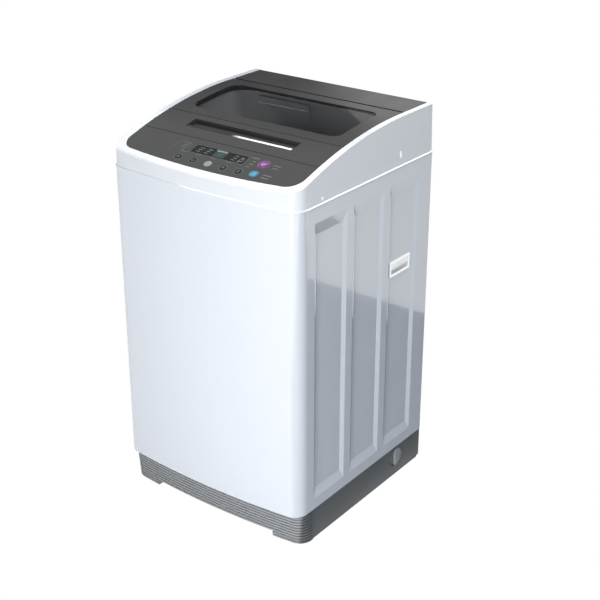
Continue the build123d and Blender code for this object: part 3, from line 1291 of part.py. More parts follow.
def outer_tub():
    """Moulded tub: wall, floor, stiffening ribs below and four hanging ears."""
    wall = ring_z(0, TUB_Y, TUB_FLOOR_Z, TUB_TOP_Z, TUB_RADIUS, TUB_RADIUS - TUB_WALL)
    floor = rod_z(0, TUB_Y, TUB_FLOOR_Z, TUB_FLOOR_Z + TUB_FLOOR_THICK, TUB_RADIUS)
    tub = wall + floor
    rib = block(TUB_RIB_START, TUB_RADIUS - 1, -TUB_RIB_HALF, TUB_RIB_HALF,
                TUB_FLOOR_Z - TUB_RIB, TUB_FLOOR_Z + 1)
    tub = tub + around_tub(TUB_RIB_COUNT, rib)
    hoop_z = TUB_TOP_Z - TUB_HOOP_DROP
    tub = tub + ring_z(0, TUB_Y, hoop_z, hoop_z + TUB_HOOP_HEIGHT, TUB_RADIUS + TUB_HOOP,
                       TUB_RADIUS - 1)
    ear_top = EAR_Z + EAR_THICK
    for x, y in rod_spots():
        reach = hypot(x, y - TUB_Y)
        angle = degrees(atan2(y - TUB_Y, x))
        arm = block(TUB_RADIUS - TUB_WALL / 2, reach, -EAR_RADIUS, EAR_RADIUS, EAR_Z, ear_top)
        web = block(TUB_RADIUS - TUB_WALL / 2, reach - EAR_RADIUS, -TUB_RIB_HALF, TUB_RIB_HALF,
                    ear_top - 1, ear_top + EAR_WEB)
        tub = tub + at_tub(Rot(0, 0, angle) * (arm + web))
        tub = tub + rod_z(x, y, EAR_Z, ear_top, EAR_RADIUS)
        tub = tub - rod_z(x, y, EAR_Z - 1, ear_top + 1, ROD_RADIUS + EAR_BORE)
    floor_top = TUB_FLOOR_Z + TUB_FLOOR_THICK + 1
    tub = tub - rod_z(0, TUB_Y, TUB_FLOOR_Z - 1, floor_top, BEARING_R - SEAL_IN)
    x, y = valve_spot()
    return tub - rod_z(x, y, TUB_FLOOR_Z - 1, floor_top, VALVE_R - VALVE_PORT)


def tub_ring():
    """Ring on the tub's edge that narrows its mouth."""
    top = TUB_TOP_Z + RING_RISE
    foot = ring_z(0, TUB_Y, TUB_TOP_Z, top, TUB_RADIUS + RING_FOOT, TUB_RADIUS - RING_FOOT - 1)
    sheet = ring_z(0, TUB_Y, top - TUB_WALL, top, TUB_RADIUS, TUB_MOUTH_R)
    lip = ring_z(0, TUB_Y, top - TUB_WALL, top + RING_LIP, TUB_MOUTH_R + TUB_WALL, TUB_MOUTH_R)
    return foot + sheet + lip


def basket():
    """Perforated steel basket."""
    wall = ring_z(0, TUB_Y, BASKET_FLOOR_Z, BASKET_TOP_Z, BASKET_RADIUS,
                  BASKET_RADIUS - BASKET_WALL)
    floor = ring_z(0, TUB_Y, BASKET_FLOOR_Z, BASKET_FLOOR_Z + 2 * BASKET_WALL, BASKET_RADIUS,
                   SPIN_TUBE_R)
    drum = wall + floor
    pitch = (BASKET_TOP_Z - BASKET_FLOOR_Z - 2 * BASKET_HOLE_END) / (BASKET_HOLE_ROWS - 1)
    hole = rod_x(BASKET_RADIUS - 10, BASKET_RADIUS + 10, 0, 0, BASKET_HOLE_R)
    cuts = []
    for row in range(BASKET_HOLE_ROWS):
        z = BASKET_FLOOR_Z + BASKET_HOLE_END + row * pitch
        turn = 180 / BASKET_HOLE_COLUMNS if row % 2 else 0
        cuts += around_tub(BASKET_HOLE_COLUMNS, Pos(0, 0, z) * hole, turn)
    return drum - cuts


def balance_ring():
    """Hollow fluid ring that crowns the basket."""
    top = BASKET_TOP_Z + BALANCE_HEIGHT
    ring = ring_z(0, TUB_Y, BASKET_TOP_Z, top, BASKET_RADIUS + BALANCE_PROUD, BALANCE_INNER)
    ring = fillet(ring.edges().filter_by(GeomType.CIRCLE).group_by(Axis.Z)[-1], BALANCE_ROUND)
    liquid = ring_z(0, TUB_Y, BASKET_TOP_Z + BALANCE_PROUD, top - BALANCE_WALL,
                    BASKET_RADIUS + BALANCE_PROUD - BALANCE_WALL, BALANCE_INNER + BALANCE_WALL)
    return ring - liquid


def basket_hub():
    """Cast spider under the basket, on its hollow spin shaft."""
    arm = block(0, BASKET_RADIUS - HUB_ARM_END, -HUB_ARM_HALF, HUB_ARM_HALF,
                BASKET_FLOOR_Z - HUB_ARM_HEIGHT, BASKET_FLOOR_Z)
    hub = join(around_tub(3, arm))
    hub = hub + rod_z(0, TUB_Y, BASKET_FLOOR_Z - HUB_HEIGHT, BASKET_FLOOR_Z, HUB_R)
    hub = hub + rod_z(0, TUB_Y, CLUTCH_BOTTOM_Z + BEARING_SEAT - 2 * RUN_GAP,
                      BASKET_FLOOR_Z + 2 * BASKET_WALL, SPIN_TUBE_R)
    return hub - rod_z(0, TUB_Y, CLUTCH_BOTTOM_Z, BASKET_FLOOR_Z + PULSATOR_RISE,
                       WASH_SHAFT_R + SHAFT_CLEARANCE)


def lint_filters():
    """Two lint catchers on the basket's inner wall."""
    inner = BASKET_RADIUS - BASKET_WALL
    z0 = BASKET_FLOOR_Z + FILTER_RISE
    curve = ring_z(0, 0, z0, z0 + FILTER_HEIGHT, inner, inner - FILTER_DEPTH)
    wedge = block(inner / 2, inner + 1, -FILTER_HALF, FILTER_HALF, BASKET_FLOOR_Z, BASKET_TOP_Z)
    return Compound(children=around_tub(2, curve & wedge, 90.0))


def pulsator():
    """Dished agitator disc with raised vanes."""
    z0 = BASKET_FLOOR_Z + PULSATOR_RISE
    rim, hub = PULSATOR_RADIUS, PULSATOR_HUB
    hub_z = z0 + PULSATOR_EDGE - 2
    profile = make_face([
        Line((0, z0), (rim - PULSATOR_EDGE, z0)),
        Line((rim - PULSATOR_EDGE, z0), (rim, hub_z)),
        Line((rim, hub_z), (rim, z0 + PULSATOR_RIM)),
        ThreePointArc((rim, z0 + PULSATOR_RIM), (PULSATOR_DISH_R, z0 + PULSATOR_DISH),
                      (hub, hub_z)),
        Line((hub, hub_z), (hub - PULSATOR_EDGE, z0 + PULSATOR_HUB_TOP)),
        Line((hub - PULSATOR_EDGE, z0 + PULSATOR_HUB_TOP), (0, z0 + PULSATOR_HUB_TOP)),
        Line((0, z0 + PULSATOR_HUB_TOP), (0, z0)),
    ])
    disc = at_tub(revolve(Plane.XZ * profile, Axis.Z))
    vane = block(hub / 2, rim - PULSATOR_EDGE, -VANE_HALF, VANE_HALF, z0 + PULSATOR_DISH / 2,
                 z0 + VANE_TOP)
    vane = fillet(vane.edges().group_by(Axis.Z)[-1], 0.7 * VANE_HALF)
    disc = disc + around_tub(PULSATOR_VANES, vane)
    return disc - rod_z(0, TUB_Y, z0 - 1, z0 + SHAFT_IN_HUB, WASH_SHAFT_R)


def wash_shaft():
    top = BASKET_FLOOR_Z + PULSATOR_RISE + SHAFT_IN_HUB
    return rod_z(0, TUB_Y, CLUTCH_BOTTOM_Z + BEARING_SEAT, top, WASH_SHAFT_R)


def plate_z():
    """Underside of the mounting plate, which lies under the tub's ribs."""
    return TUB_FLOOR_Z - TUB_RIB - PLATE_THICK


def mounting_plate():
    """Pressed plate that hangs the motor and the clutch under the tub."""
    y0, y1 = MOTOR_Y - PLATE_FRONT, TUB_Y + PLATE_BACK
    wall = PLATE_THICK
    face = rounded_rect(-PLATE_HALF, PLATE_HALF, y0, y1, PLATE_CORNER)
    inner = rounded_rect(-PLATE_HALF + wall, PLATE_HALF - wall, y0 + wall, y1 - wall,
                         PLATE_CORNER - wall)
    plate = prism(face, plate_z(), plate_z() + wall)
    rim = prism(face - inner, plate_z() - PLATE_RIM, plate_z() + 1)
    return plate + rim - rod_z(0, TUB_Y, 0, TUB_FLOOR_Z, BEARING_R + NECK_WALL)


def clutch_housing():
    """Gear case: flange under the plate, neck up to the tub floor, hollow inside."""
    neck = rod_z(0, TUB_Y, plate_z() - 1, TUB_FLOOR_Z, BEARING_R + NECK_WALL)
    flange = rod_z(0, TUB_Y, plate_z() - PLATE_RIM, plate_z(), CLUTCH_R + CLUTCH_FLANGE)
    case = rod_z(0, TUB_Y, CLUTCH_BOTTOM_Z, plate_z(), CLUTCH_R)
    body = neck + flange + case
    floor_z = CLUTCH_BOTTOM_Z + BEARING_SEAT - BEARING_H
    bore = rod_z(0, TUB_Y, floor_z, TUB_FLOOR_Z + 1, BEARING_R)
    input_hole = rod_z(0, TUB_Y, CLUTCH_BOTTOM_Z - 1, floor_z + 1,
                       WASH_SHAFT_R + SHAFT_CLEARANCE)
    return body - bore - input_hole


def bearings():
    """Upper and lower ball bearings of the spin shaft."""
    rings = []
    for z in (CLUTCH_BOTTOM_Z + BEARING_SEAT, TUB_FLOOR_Z - BEARING_H):
        rings.append(ring_z(0, TUB_Y, z, z + BEARING_H, BEARING_R, SPIN_TUBE_R + SHAFT_CLEARANCE))
    return Compound(children=rings)


def shaft_seal():
    """Lip seal in the tub floor, round the spin shaft."""
    return ring_z(0, TUB_Y, TUB_FLOOR_Z, TUB_FLOOR_Z + BEARING_H, BEARING_R - SEAL_IN,
                  SPIN_TUBE_R + SHAFT_CLEARANCE)


def motor():
    """Induction motor: finned case hung from the plate, output end down."""
    case_z0, case_z1 = MOTOR_BOTTOM_Z + MOTOR_STEP, plate_z() - MOTOR_STEP / 2
    case = rod_z(0, MOTOR_Y, case_z0, case_z1, MOTOR_R)
    neck = rod_z(0, MOTOR_Y, MOTOR_BOTTOM_Z, case_z0 + 1, MOTOR_R - MOTOR_NECK)
    top = rod_z(0, MOTOR_Y, case_z1 - 1, plate_z(), MOTOR_R - MOTOR_STEP)
    body = case + neck + top
    groove = ring_z(0, MOTOR_Y, 0, MOTOR_GROOVE, MOTOR_R + 2, MOTOR_R - MOTOR_GROOVE)
    for i in range(MOTOR_GROOVES):
        body = body - Pos(0, 0, case_z0 + MOTOR_STEP + i * MOTOR_GROOVE_PITCH) * groove
    return body - rod_z(0, MOTOR_Y, 0, motor_shaft_top(), MOTOR_SHAFT_R + SHAFT_CLEARANCE)


def motor_shaft_top():
    return MOTOR_BOTTOM_Z + 3 * MOTOR_STEP


def pulley(y, radius, shaft_r, shaft_top):
    """Grooved pulley with its shaft, around a vertical axis at y."""
    z0, z1 = PULLEY_Z0, PULLEY_Z0 + PULLEY_HEIGHT
    wheel = rod_z(0, y, z0, z1, radius + PULLEY_FLANGE)
    groove = ring_z(0, y, belt_z() - 1, belt_z() + BELT_HEIGHT + 1, radius + PULLEY_FLANGE + 1,
                    radius)
    shaft = rod_z(0, y, z0, shaft_top, shaft_r)
    return wheel - groove + shaft


def belt_z():
    return PULLEY_Z0 + (PULLEY_HEIGHT - BELT_HEIGHT) / 2


def drive_pulley():
    shaft_top = CLUTCH_BOTTOM_Z + BEARING_SEAT - BEARING_H - 2
    wheel = pulley(TUB_Y, DRIVE_PULLEY_R, WASH_SHAFT_R, shaft_top)
    window = rod_z(PULLEY_WINDOW_AT, 0, 0, TALL, PULLEY_WINDOW_R)
    return wheel - around_tub(PULLEY_WINDOWS, window)


def motor_pulley():
    return pulley(MOTOR_Y, MOTOR_PULLEY_R, MOTOR_SHAFT_R, motor_shaft_top() - 2)


def belt_outline(grow):
    """Outline round both pulleys: two arcs and their common tangents."""
    big, small = DRIVE_PULLEY_R + grow, MOTOR_PULLEY_R + grow
    lean = asin((big - small) / (TUB_Y - MOTOR_Y))
    def spot(y, r, sx):
        return (sx * r * cos(lean), y - r * sin(lean))
    big_r, big_l = spot(TUB_Y, big, 1), spot(TUB_Y, big, -1)
    small_r, small_l = spot(MOTOR_Y, small, 1), spot(MOTOR_Y, small, -1)
    return make_face([
        ThreePointArc(big_r, (0, TUB_Y + big), big_l),
        Line(big_l, small_l),
        ThreePointArc(small_l, (0, MOTOR_Y - small), small_r),
        Line(small_r, big_r),
    ])


def drive_belt():
    inner = belt_outline(RUN_GAP)
    return prism(belt_outline(RUN_GAP + BELT_THICK) - inner, belt_z(), belt_z() + BELT_HEIGHT)


def valve_spot():
    turn = radians(VALVE_ANGLE)
    return VALVE_REACH * cos(turn), TUB_Y + VALVE_REACH * sin(turn)


def drain_valve():
    """Drain valve body under the tub floor, with its actuator and spout."""
    x, y = valve_spot()
    body = rod_z(x, y, VALVE_BOTTOM_Z, TUB_FLOOR_Z, VALVE_R)
    spout = rod_z(x, y, BELLOWS_TOP_Z - VALVE_PORT, VALVE_BOTTOM_Z + 1, HOSE_R)
    through = rod_z(x, y, BELLOWS_TOP_Z - VALVE_PORT - 1, TUB_FLOOR_Z + 1, HOSE_R - HOSE_WALL)
    box_z = VALVE_BOTTOM_Z + 2 * TUB_WALL
    box = block(VALVE_REACH + VALVE_R - TUB_WALL, TUB_RADIUS - TUB_WALL, -ACTUATOR_HALF,
                ACTUATOR_HALF, box_z, box_z + ACTUATOR_HEIGHT)
    actuator = at_tub(Rot(0, 0, VALVE_ANGLE) * box)
    return body + actuator + spout - through


def drain_bellows():
    """Rubber bellows between the valve spout and the fixed hose."""
    x, y = valve_spot()
    pitch = BELLOWS_LENGTH / BELLOWS_FOLDS
    inner = HOSE_R + 0.2
    body = ring_z(x, y, BELLOWS_BOTTOM_Z, BELLOWS_TOP_Z, inner + BELLOWS_WALL, inner)
    for i in range(BELLOWS_FOLDS):
        z = BELLOWS_BOTTOM_Z + (i + 0.5) * pitch
        body = body + ring_z(x, y, z - BELLOWS_FOLD_HALF, z + BELLOWS_FOLD_HALF,
                             inner + BELLOWS_FOLD, inner + BELLOWS_WALL / 2)
    return body


def drain_hose():
    """Fixed hose from the bellows down and out to the plinth socket."""
    x, y = valve_spot()
    end_x = plinth_side_x() - DRAIN_DEPTH
    route = [(x, y, BELLOWS_BOTTOM_Z), (x, y, DRAIN_Z), (x, DRAIN_Y, DRAIN_Z),
             (end_x, DRAIN_Y, DRAIN_Z)]
    path = FilletPolyline(*route, radius=HOSE_BEND)
    start = Plane(origin=route[0], z_dir=(0, 0, -1))
    outer = sweep(start * Circle(HOSE_R), path=path)
    inner = sweep(start * Circle(HOSE_R - HOSE_WALL), path=path)
    return outer - inner


# ---- build ----------------------------------------------------------------
def pieces():
    made = {
        "base": base(),
        "rear_feet": rear_feet(),
        "levelling_foot_left": levelling_foot(-FOOT_X),
        "levelling_foot_right": levelling_foot(FOOT_X),
        "cabinet": cabinet(),
        "side_grip_right": side_grip(),
        "side_grip_left": mirrored(side_grip()),
        "back_panel": back_panel(),
        "casing_screws": casing_screws(),
        "cord_gland": cord_gland(),
        "capacitor": capacitor(),
        "top_cover": top_cover(),
        "tub_well": tub_well(),
        "splash_ring": splash_ring(),
        "control_panel": control_panel(),
        "display_window": display_window(),
        "control_board": control_board(),
        "rear_fascia": rear_fascia(),
        "lid_frame": lid_frame(),
        "lid_window": lid_window(),
        "lid_pins": lid_pins(),
        "hinge_brackets": hinge_brackets(),
        "lid_front_panel": lid_front_panel(),
        "handle_strip": handle_strip(),
        "drawer_housing": drawer_housing(),
        "detergent_drawer": detergent_drawer(),
        "inlet_valve": inlet_valve(),
        "pressure_sensor": pressure_sensor(),
        "drain_socket": drain_socket(),
        "drain_cap": drain_cap(),
        "drain_hose": drain_hose(),
        "drain_bellows": drain_bellows(),
        "drain_valve": drain_valve(),
        "corner_brackets": corner_brackets(),
        "suspension_rods": suspension_rods(),
        "suspension_springs": suspension_springs(),
        "suspension_cups": suspension_cups(),
        "outer_tub": outer_tub(),
        "tub_ring": tub_ring(),
        "basket": basket(),
        "balance_ring": balance_ring(),
        "basket_hub": basket_hub(),
        "lint_filters": lint_filters(),
        "pulsator": pulsator(),
        "wash_shaft": wash_shaft(),
        "mounting_plate": mounting_plate(),
        "clutch_housing": clutch_housing(),
        "bearings": bearings(),
        "shaft_seal": shaft_seal(),
        "motor": motor(),
        "drive_pulley": drive_pulley(),
        "motor_pulley": motor_pulley(),
        "drive_belt": drive_belt(),
    }
    for name, x, y, radius in keys():
        made[name] = button(x, y, radius)
    return made


os.makedirs("parts", exist_ok=True)
for name, part in pieces().items():
    export_step(part, f"parts/{name}.step")
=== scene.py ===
import json
from math import asin, atan2, cos, degrees, pi, radians, sin, sqrt

import bpy
from mathutils import Matrix, Vector


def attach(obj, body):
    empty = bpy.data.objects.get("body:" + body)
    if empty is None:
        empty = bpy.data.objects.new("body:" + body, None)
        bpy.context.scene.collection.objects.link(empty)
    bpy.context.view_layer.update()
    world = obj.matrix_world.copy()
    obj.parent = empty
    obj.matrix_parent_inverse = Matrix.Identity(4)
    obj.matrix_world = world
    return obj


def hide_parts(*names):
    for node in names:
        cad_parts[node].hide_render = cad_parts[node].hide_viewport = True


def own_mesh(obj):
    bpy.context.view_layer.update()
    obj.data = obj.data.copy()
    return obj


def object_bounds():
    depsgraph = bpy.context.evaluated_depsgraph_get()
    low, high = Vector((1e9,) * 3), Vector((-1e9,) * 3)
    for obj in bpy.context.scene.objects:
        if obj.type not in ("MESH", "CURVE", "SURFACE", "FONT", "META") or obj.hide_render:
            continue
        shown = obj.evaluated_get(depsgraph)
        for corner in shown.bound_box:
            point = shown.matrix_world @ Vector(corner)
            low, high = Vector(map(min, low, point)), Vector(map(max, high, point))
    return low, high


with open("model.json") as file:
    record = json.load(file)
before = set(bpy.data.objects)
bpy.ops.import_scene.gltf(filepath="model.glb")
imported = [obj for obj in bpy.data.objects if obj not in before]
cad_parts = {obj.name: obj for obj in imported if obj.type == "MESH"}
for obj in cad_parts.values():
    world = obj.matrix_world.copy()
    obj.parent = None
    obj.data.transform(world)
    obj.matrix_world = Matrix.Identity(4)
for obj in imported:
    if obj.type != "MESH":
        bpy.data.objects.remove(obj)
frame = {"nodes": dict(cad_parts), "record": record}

CAD_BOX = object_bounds()

# ---- form of the machine, in metres ----------------------------------------
TOP_Z = CAD_BOX[1][2]
HALF = CAD_BOX[1][0]
FRONT_Y = CAD_BOX[0][1]
BACK_Y = CAD_BOX[1][1]
CROWN_RADIUS = 1.160       # the top falls away to the front on this radius
CROWN_FLAT_Y = 0.150       # the top is level behind this line


def crown_z(y):
    """Height of the crowned top at y."""
    if y >= CROWN_FLAT_Y:
        return TOP_Z
    reach = CROWN_FLAT_Y - y
    return TOP_Z - CROWN_RADIUS + sqrt(CROWN_RADIUS ** 2 - reach ** 2)


def crown_tilt(y):
    """Lean of the crown at y, as a turn about X."""
    return asin(max(0.0, CROWN_FLAT_Y - y) / CROWN_RADIUS)


def above_crown(x, y, lift):
    """Point at a lift above the crown at x, y, square to its surface."""
    tilt = crown_tilt(y)
    return Vector((x, y, crown_z(y))) + lift * Vector((0, -sin(tilt), cos(tilt)))


# ---- modelling helpers -----------------------------------------------------
EDGE_ANGLE = 30            # degrees; edges sharper than this are rounded or stay crisp
EDGE_SEGMENTS = 2
FOLD_ANGLE = 2.5           # degrees; pressed folds sharper than this stay crisp
FLAT_ANGLE = 0.2           # degrees; neighbours flatter than this become one face
WELD = 1e-6                # vertices nearer than this become one
LARGE_FACE_WEIGHT = 100    # the most that large faces can rule the shading


def clear_selection():
    if bpy.context.object and bpy.context.object.mode != "OBJECT":
        bpy.ops.object.mode_set(mode="OBJECT")
    bpy.ops.object.select_all(action="DESELECT")


def only(piece):
    """Leaves one piece selected and active."""
    clear_selection()
    piece.select_set(True)
    bpy.context.view_layer.objects.active = piece


def named(name):
    """Takes the object that an operator has just added."""
    piece = bpy.context.object
    piece.name = name
    piece.data.name = name
    return piece


def settle(piece):
    """Moves the piece's place into its mesh."""
    only(piece)
    bpy.ops.object.transform_apply(location=True, rotation=True, scale=True)
    return piece


def apply_all(piece):
    """Applies every modifier of a piece."""
    only(piece)
    for modifier in list(piece.modifiers):
        bpy.ops.object.modifier_apply(modifier=modifier.name)
    return piece


def smooth(piece, angle=EDGE_ANGLE):
    """Smooth shading, with edges sharper than an angle kept crisp."""
    only(piece)
    bpy.ops.object.shade_smooth_by_angle(angle=radians(angle))
    return piece


def rounded(piece, width):
    """Rounds every edge sharper than the edge angle."""
    bevel = piece.modifiers.new("edge", "BEVEL")
    bevel.width = width
    bevel.segments = EDGE_SEGMENTS
    bevel.limit_method = "ANGLE"
    bevel.angle_limit = radians(EDGE_ANGLE)
    apply_all(piece)
    return smooth(piece)


def crisp(piece, inside):
    """Keeps slight folds sharp on the edges whose ends are both inside a region."""
    mesh = piece.data
    normals = [face.normal.copy() for face in mesh.polygons]
    faces_of = {}
    for face in mesh.polygons:
        for key in face.edge_keys:
            faces_of.setdefault(key, []).append(face.index)
    for edge in mesh.edges:
        pair = faces_of.get(edge.key, [])
        if len(pair) != 2 or not all(inside(mesh.vertices[i].co) for i in edge.vertices):
            continue
        if normals[pair[0]].angle(normals[pair[1]], 0.0) > radians(FOLD_ANGLE):
            edge.use_edge_sharp = True
    return piece


def level_flats(piece):
    """Lets the large faces rule the shading next to small curved ones."""
    even = piece.modifiers.new("even", "WEIGHTED_NORMAL")
    even.weight = LARGE_FACE_WEIGHT
    even.keep_sharp = True
    return apply_all(piece)


def joined(pieces, name):
    """Makes one named piece of several."""
    clear_selection()
    for piece in pieces:
        piece.select_set(True)
    bpy.context.view_layer.objects.active = pieces[0]
    bpy.ops.object.join()
    return named(name)


def finish_piece(piece, body, material):
    """Gives a piece its material and its body."""
    piece.data.materials.clear()
    piece.data.materials.append(material)
    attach(piece, body)
    return piece


def body_of_node(node):
    for body, members in frame["record"]["behaviour"]["bodies"].items():
        if node in members:
            return body
    return "root"


def slot_of_node(node):
    for row in frame["record"]["subparts"]:
        if row["node"] == node:
            return row["material_slot"]
    return None


def dressed(node, material, edge_width, folds=None):
    """A welded, smooth-shaded copy of a frame node stands for it.

    Its edges are rounded where they are given a width, and folds tells the region whose
    slight folds stay crisp.
    """
    source = frame["nodes"][node]
    piece = bpy.data.objects.new(node + "_shell", source.data.copy())
    bpy.context.scene.collection.objects.link(piece)
    only(piece)
    bpy.ops.object.mode_set(mode="EDIT")
    bpy.ops.mesh.select_all(action="SELECT")
    bpy.ops.mesh.remove_doubles(threshold=WELD)
    bpy.ops.mesh.dissolve_limited(angle_limit=radians(FLAT_ANGLE))
    bpy.ops.object.mode_set(mode="OBJECT")
    if edge_width > 0:
        rounded(piece, edge_width)
    else:
        smooth(piece)
    if folds:
        crisp(piece, folds)
    level_flats(piece)
    finish_piece(piece, body_of_node(node), material)
    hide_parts(node)
    return piece


# ---- shader groups ---------------------------------------------------------
NOISE_SPAN = (0.35, 0.65)  # where most values of a noise lie
PEEL_SCALE = 420.0
FINE_PEEL_SCALE = 2600.0
FINE_PEEL_SHARE = 0.15
GRAIN_SCALE = 1500.0
SOFT_GRAIN_SCALE = 900.0
GRAIN_CELL_SHARE = 0.6
BRUSHED_STRETCH = (900.0, 900.0, 14.0)


def group(name, inputs, outputs):
    """An empty shader group with named sockets."""
    tree = bpy.data.node_groups.new(name, "ShaderNodeTree")
    for label, kind, value in inputs:
        socket = tree.interface.new_socket(name=label, in_out="INPUT", socket_type=kind)
        if value is not None:
            socket.default_value = value
    for label, kind in outputs:
        tree.interface.new_socket(name=label, in_out="OUTPUT", socket_type=kind)
    return tree, tree.nodes.new("NodeGroupInput"), tree.nodes.new("NodeGroupOutput")


def feed(tree, socket, given):
    """Links a socket to another one, or sets it to a number."""
    if hasattr(given, "is_linked"):
        tree.links.new(given, socket)
    else:
        socket.default_value = given


def noise(tree, vector, scale, detail):
    """Value of a noise, at a scale that is a number or a socket."""
    node = tree.nodes.new("ShaderNodeTexNoise")
    node.inputs["Detail"].default_value = detail
    feed(tree, node.inputs["Vector"], vector)
    feed(tree, node.inputs["Scale"], scale)
    return node.outputs["Fac"]


def remap(tree, value, low, high, to_low, to_high):
    """A value between low and high goes over to one between to_low and to_high."""
    node = tree.nodes.new("ShaderNodeMapRange")
    node.inputs["From Min"].default_value = low
    node.inputs["From Max"].default_value = high
    feed(tree, node.inputs["Value"], value)
    feed(tree, node.inputs["To Min"], to_low)
    feed(tree, node.inputs["To Max"], to_high)
    return node.outputs["Result"]


def math(tree, kind, a, b):
    """Result of an operation on two values, each a number or a socket."""
    node = tree.nodes.new("ShaderNodeMath")
    node.operation = kind
    feed(tree, node.inputs[0], a)
    feed(tree, node.inputs[1], b)
    return node.outputs["Value"]


def make_mottle():
    """Slow change of value over a surface, between Low and High."""
    tree, start, end = group("mottle", [("Vector", "NodeSocketVector", None),
                                        ("Scale", "NodeSocketFloat", 8.0),
                                        ("Low", "NodeSocketFloat", 0.3),
                                        ("High", "NodeSocketFloat", 0.4)],
                             [("Value", "NodeSocketFloat")])
    wave = noise(tree, start.outputs["Vector"], start.outputs["Scale"], 4.0)
    value = remap(tree, wave, *NOISE_SPAN, start.outputs["Low"], start.outputs["High"])
    tree.links.new(value, end.inputs["Value"])
    return tree


def make_peel():
    """Orange peel of sprayed enamel, with a trace of finer grain."""
    tree, start, end = group("orange_peel", [("Vector", "NodeSocketVector", None),
                                             ("Scale", "NodeSocketFloat", PEEL_SCALE)],
                             [("Height", "NodeSocketFloat")])
    broad = noise(tree, start.outputs["Vector"], start.outputs["Scale"], 1.0)
    fine = noise(tree, start.outputs["Vector"], FINE_PEEL_SCALE, 1.0)
    height = math(tree, "ADD", broad, math(tree, "MULTIPLY", fine, FINE_PEEL_SHARE))
    tree.links.new(height, end.inputs["Height"])
    return tree


def make_grain():
    """Fine spark-eroded grain of a moulded surface."""
    tree, start, end = group("moulded_grain", [("Vector", "NodeSocketVector", None),
                                               ("Scale", "NodeSocketFloat", GRAIN_SCALE)],
                             [("Height", "NodeSocketFloat")])
    cells = tree.nodes.new("ShaderNodeTexVoronoi")
    tree.links.new(start.outputs["Vector"], cells.inputs["Vector"])
    tree.links.new(start.outputs["Scale"], cells.inputs["Scale"])
    soft = noise(tree, start.outputs["Vector"], SOFT_GRAIN_SCALE, 3.0)
    sharp = math(tree, "MULTIPLY", cells.outputs["Distance"], GRAIN_CELL_SHARE)
    height = math(tree, "ADD", sharp, soft)
    tree.links.new(height, end.inputs["Height"])
    return tree


def make_brushed():
    """Long scratches of brushed sheet along one axis."""
    tree, start, end = group("brushed_lines", [("Vector", "NodeSocketVector", None)],
                             [("Height", "NodeSocketFloat")])
    stretch = tree.nodes.new("ShaderNodeMapping")
    stretch.inputs["Scale"].default_value = BRUSHED_STRETCH
    tree.links.new(start.outputs["Vector"], stretch.inputs["Vector"])
    lines = noise(tree, stretch.outputs["Vector"], 1.0, 3.0)
    tree.links.new(lines, end.inputs["Height"])
    return tree


def make_step():
    """Mask that goes from 0 to 1 along one direction, between From and To."""
    tree, start, end = group("step_along", [("Vector", "NodeSocketVector", None),
                                            ("Direction", "NodeSocketVector", None),
                                            ("From", "NodeSocketFloat", 0.0),
                                            ("To", "NodeSocketFloat", 1.0)],
                             [("Mask", "NodeSocketFloat")])
    along = tree.nodes.new("ShaderNodeVectorMath")
    along.operation = "DOT_PRODUCT"
    tree.links.new(start.outputs["Vector"], along.inputs[0])
    tree.links.new(start.outputs["Direction"], along.inputs[1])
    span = tree.nodes.new("ShaderNodeMapRange")
    span.interpolation_type = "SMOOTHSTEP"
    tree.links.new(along.outputs["Value"], span.inputs["Value"])
    tree.links.new(start.outputs["From"], span.inputs["From Min"])
    tree.links.new(start.outputs["To"], span.inputs["From Max"])
    tree.links.new(span.outputs["Result"], end.inputs["Mask"])
    return tree


MOTTLE = make_mottle()
PEEL = make_peel()
GRAIN = make_grain()
BRUSHED = make_brushed()
STEP = make_step()

# ---- finishes --------------------------------------------------------------
BUMP_DEPTH = 0.0003
SHALLOW_BUMP = 0.0002
COLOUR_SOCKETS = (6, 7)    # the two colours of a Mix node that is set to mix colours
MIXED_COLOUR = 2           # and its result
# painted reflection: the recess strip is coloured dark at its left end and bright at its right,
# over this span of X
STRIP_REFLECTION_X = (-0.022, 0.010)    # the strip in the finger recess turns from dark to bright
PLINTH_CORNER_Y = (FRONT_Y + 0.037, FRONT_Y + 0.042)    # ribbed corner to plain flank
PLINTH_FRONT_GREY = (0.33, 0.34, 0.355)
# painted shade: the flanks are coloured darker than the front, for the dimmer light that falls
# on them
PLINTH_FLANK_SHADE_GREY = (0.125, 0.135, 0.14)


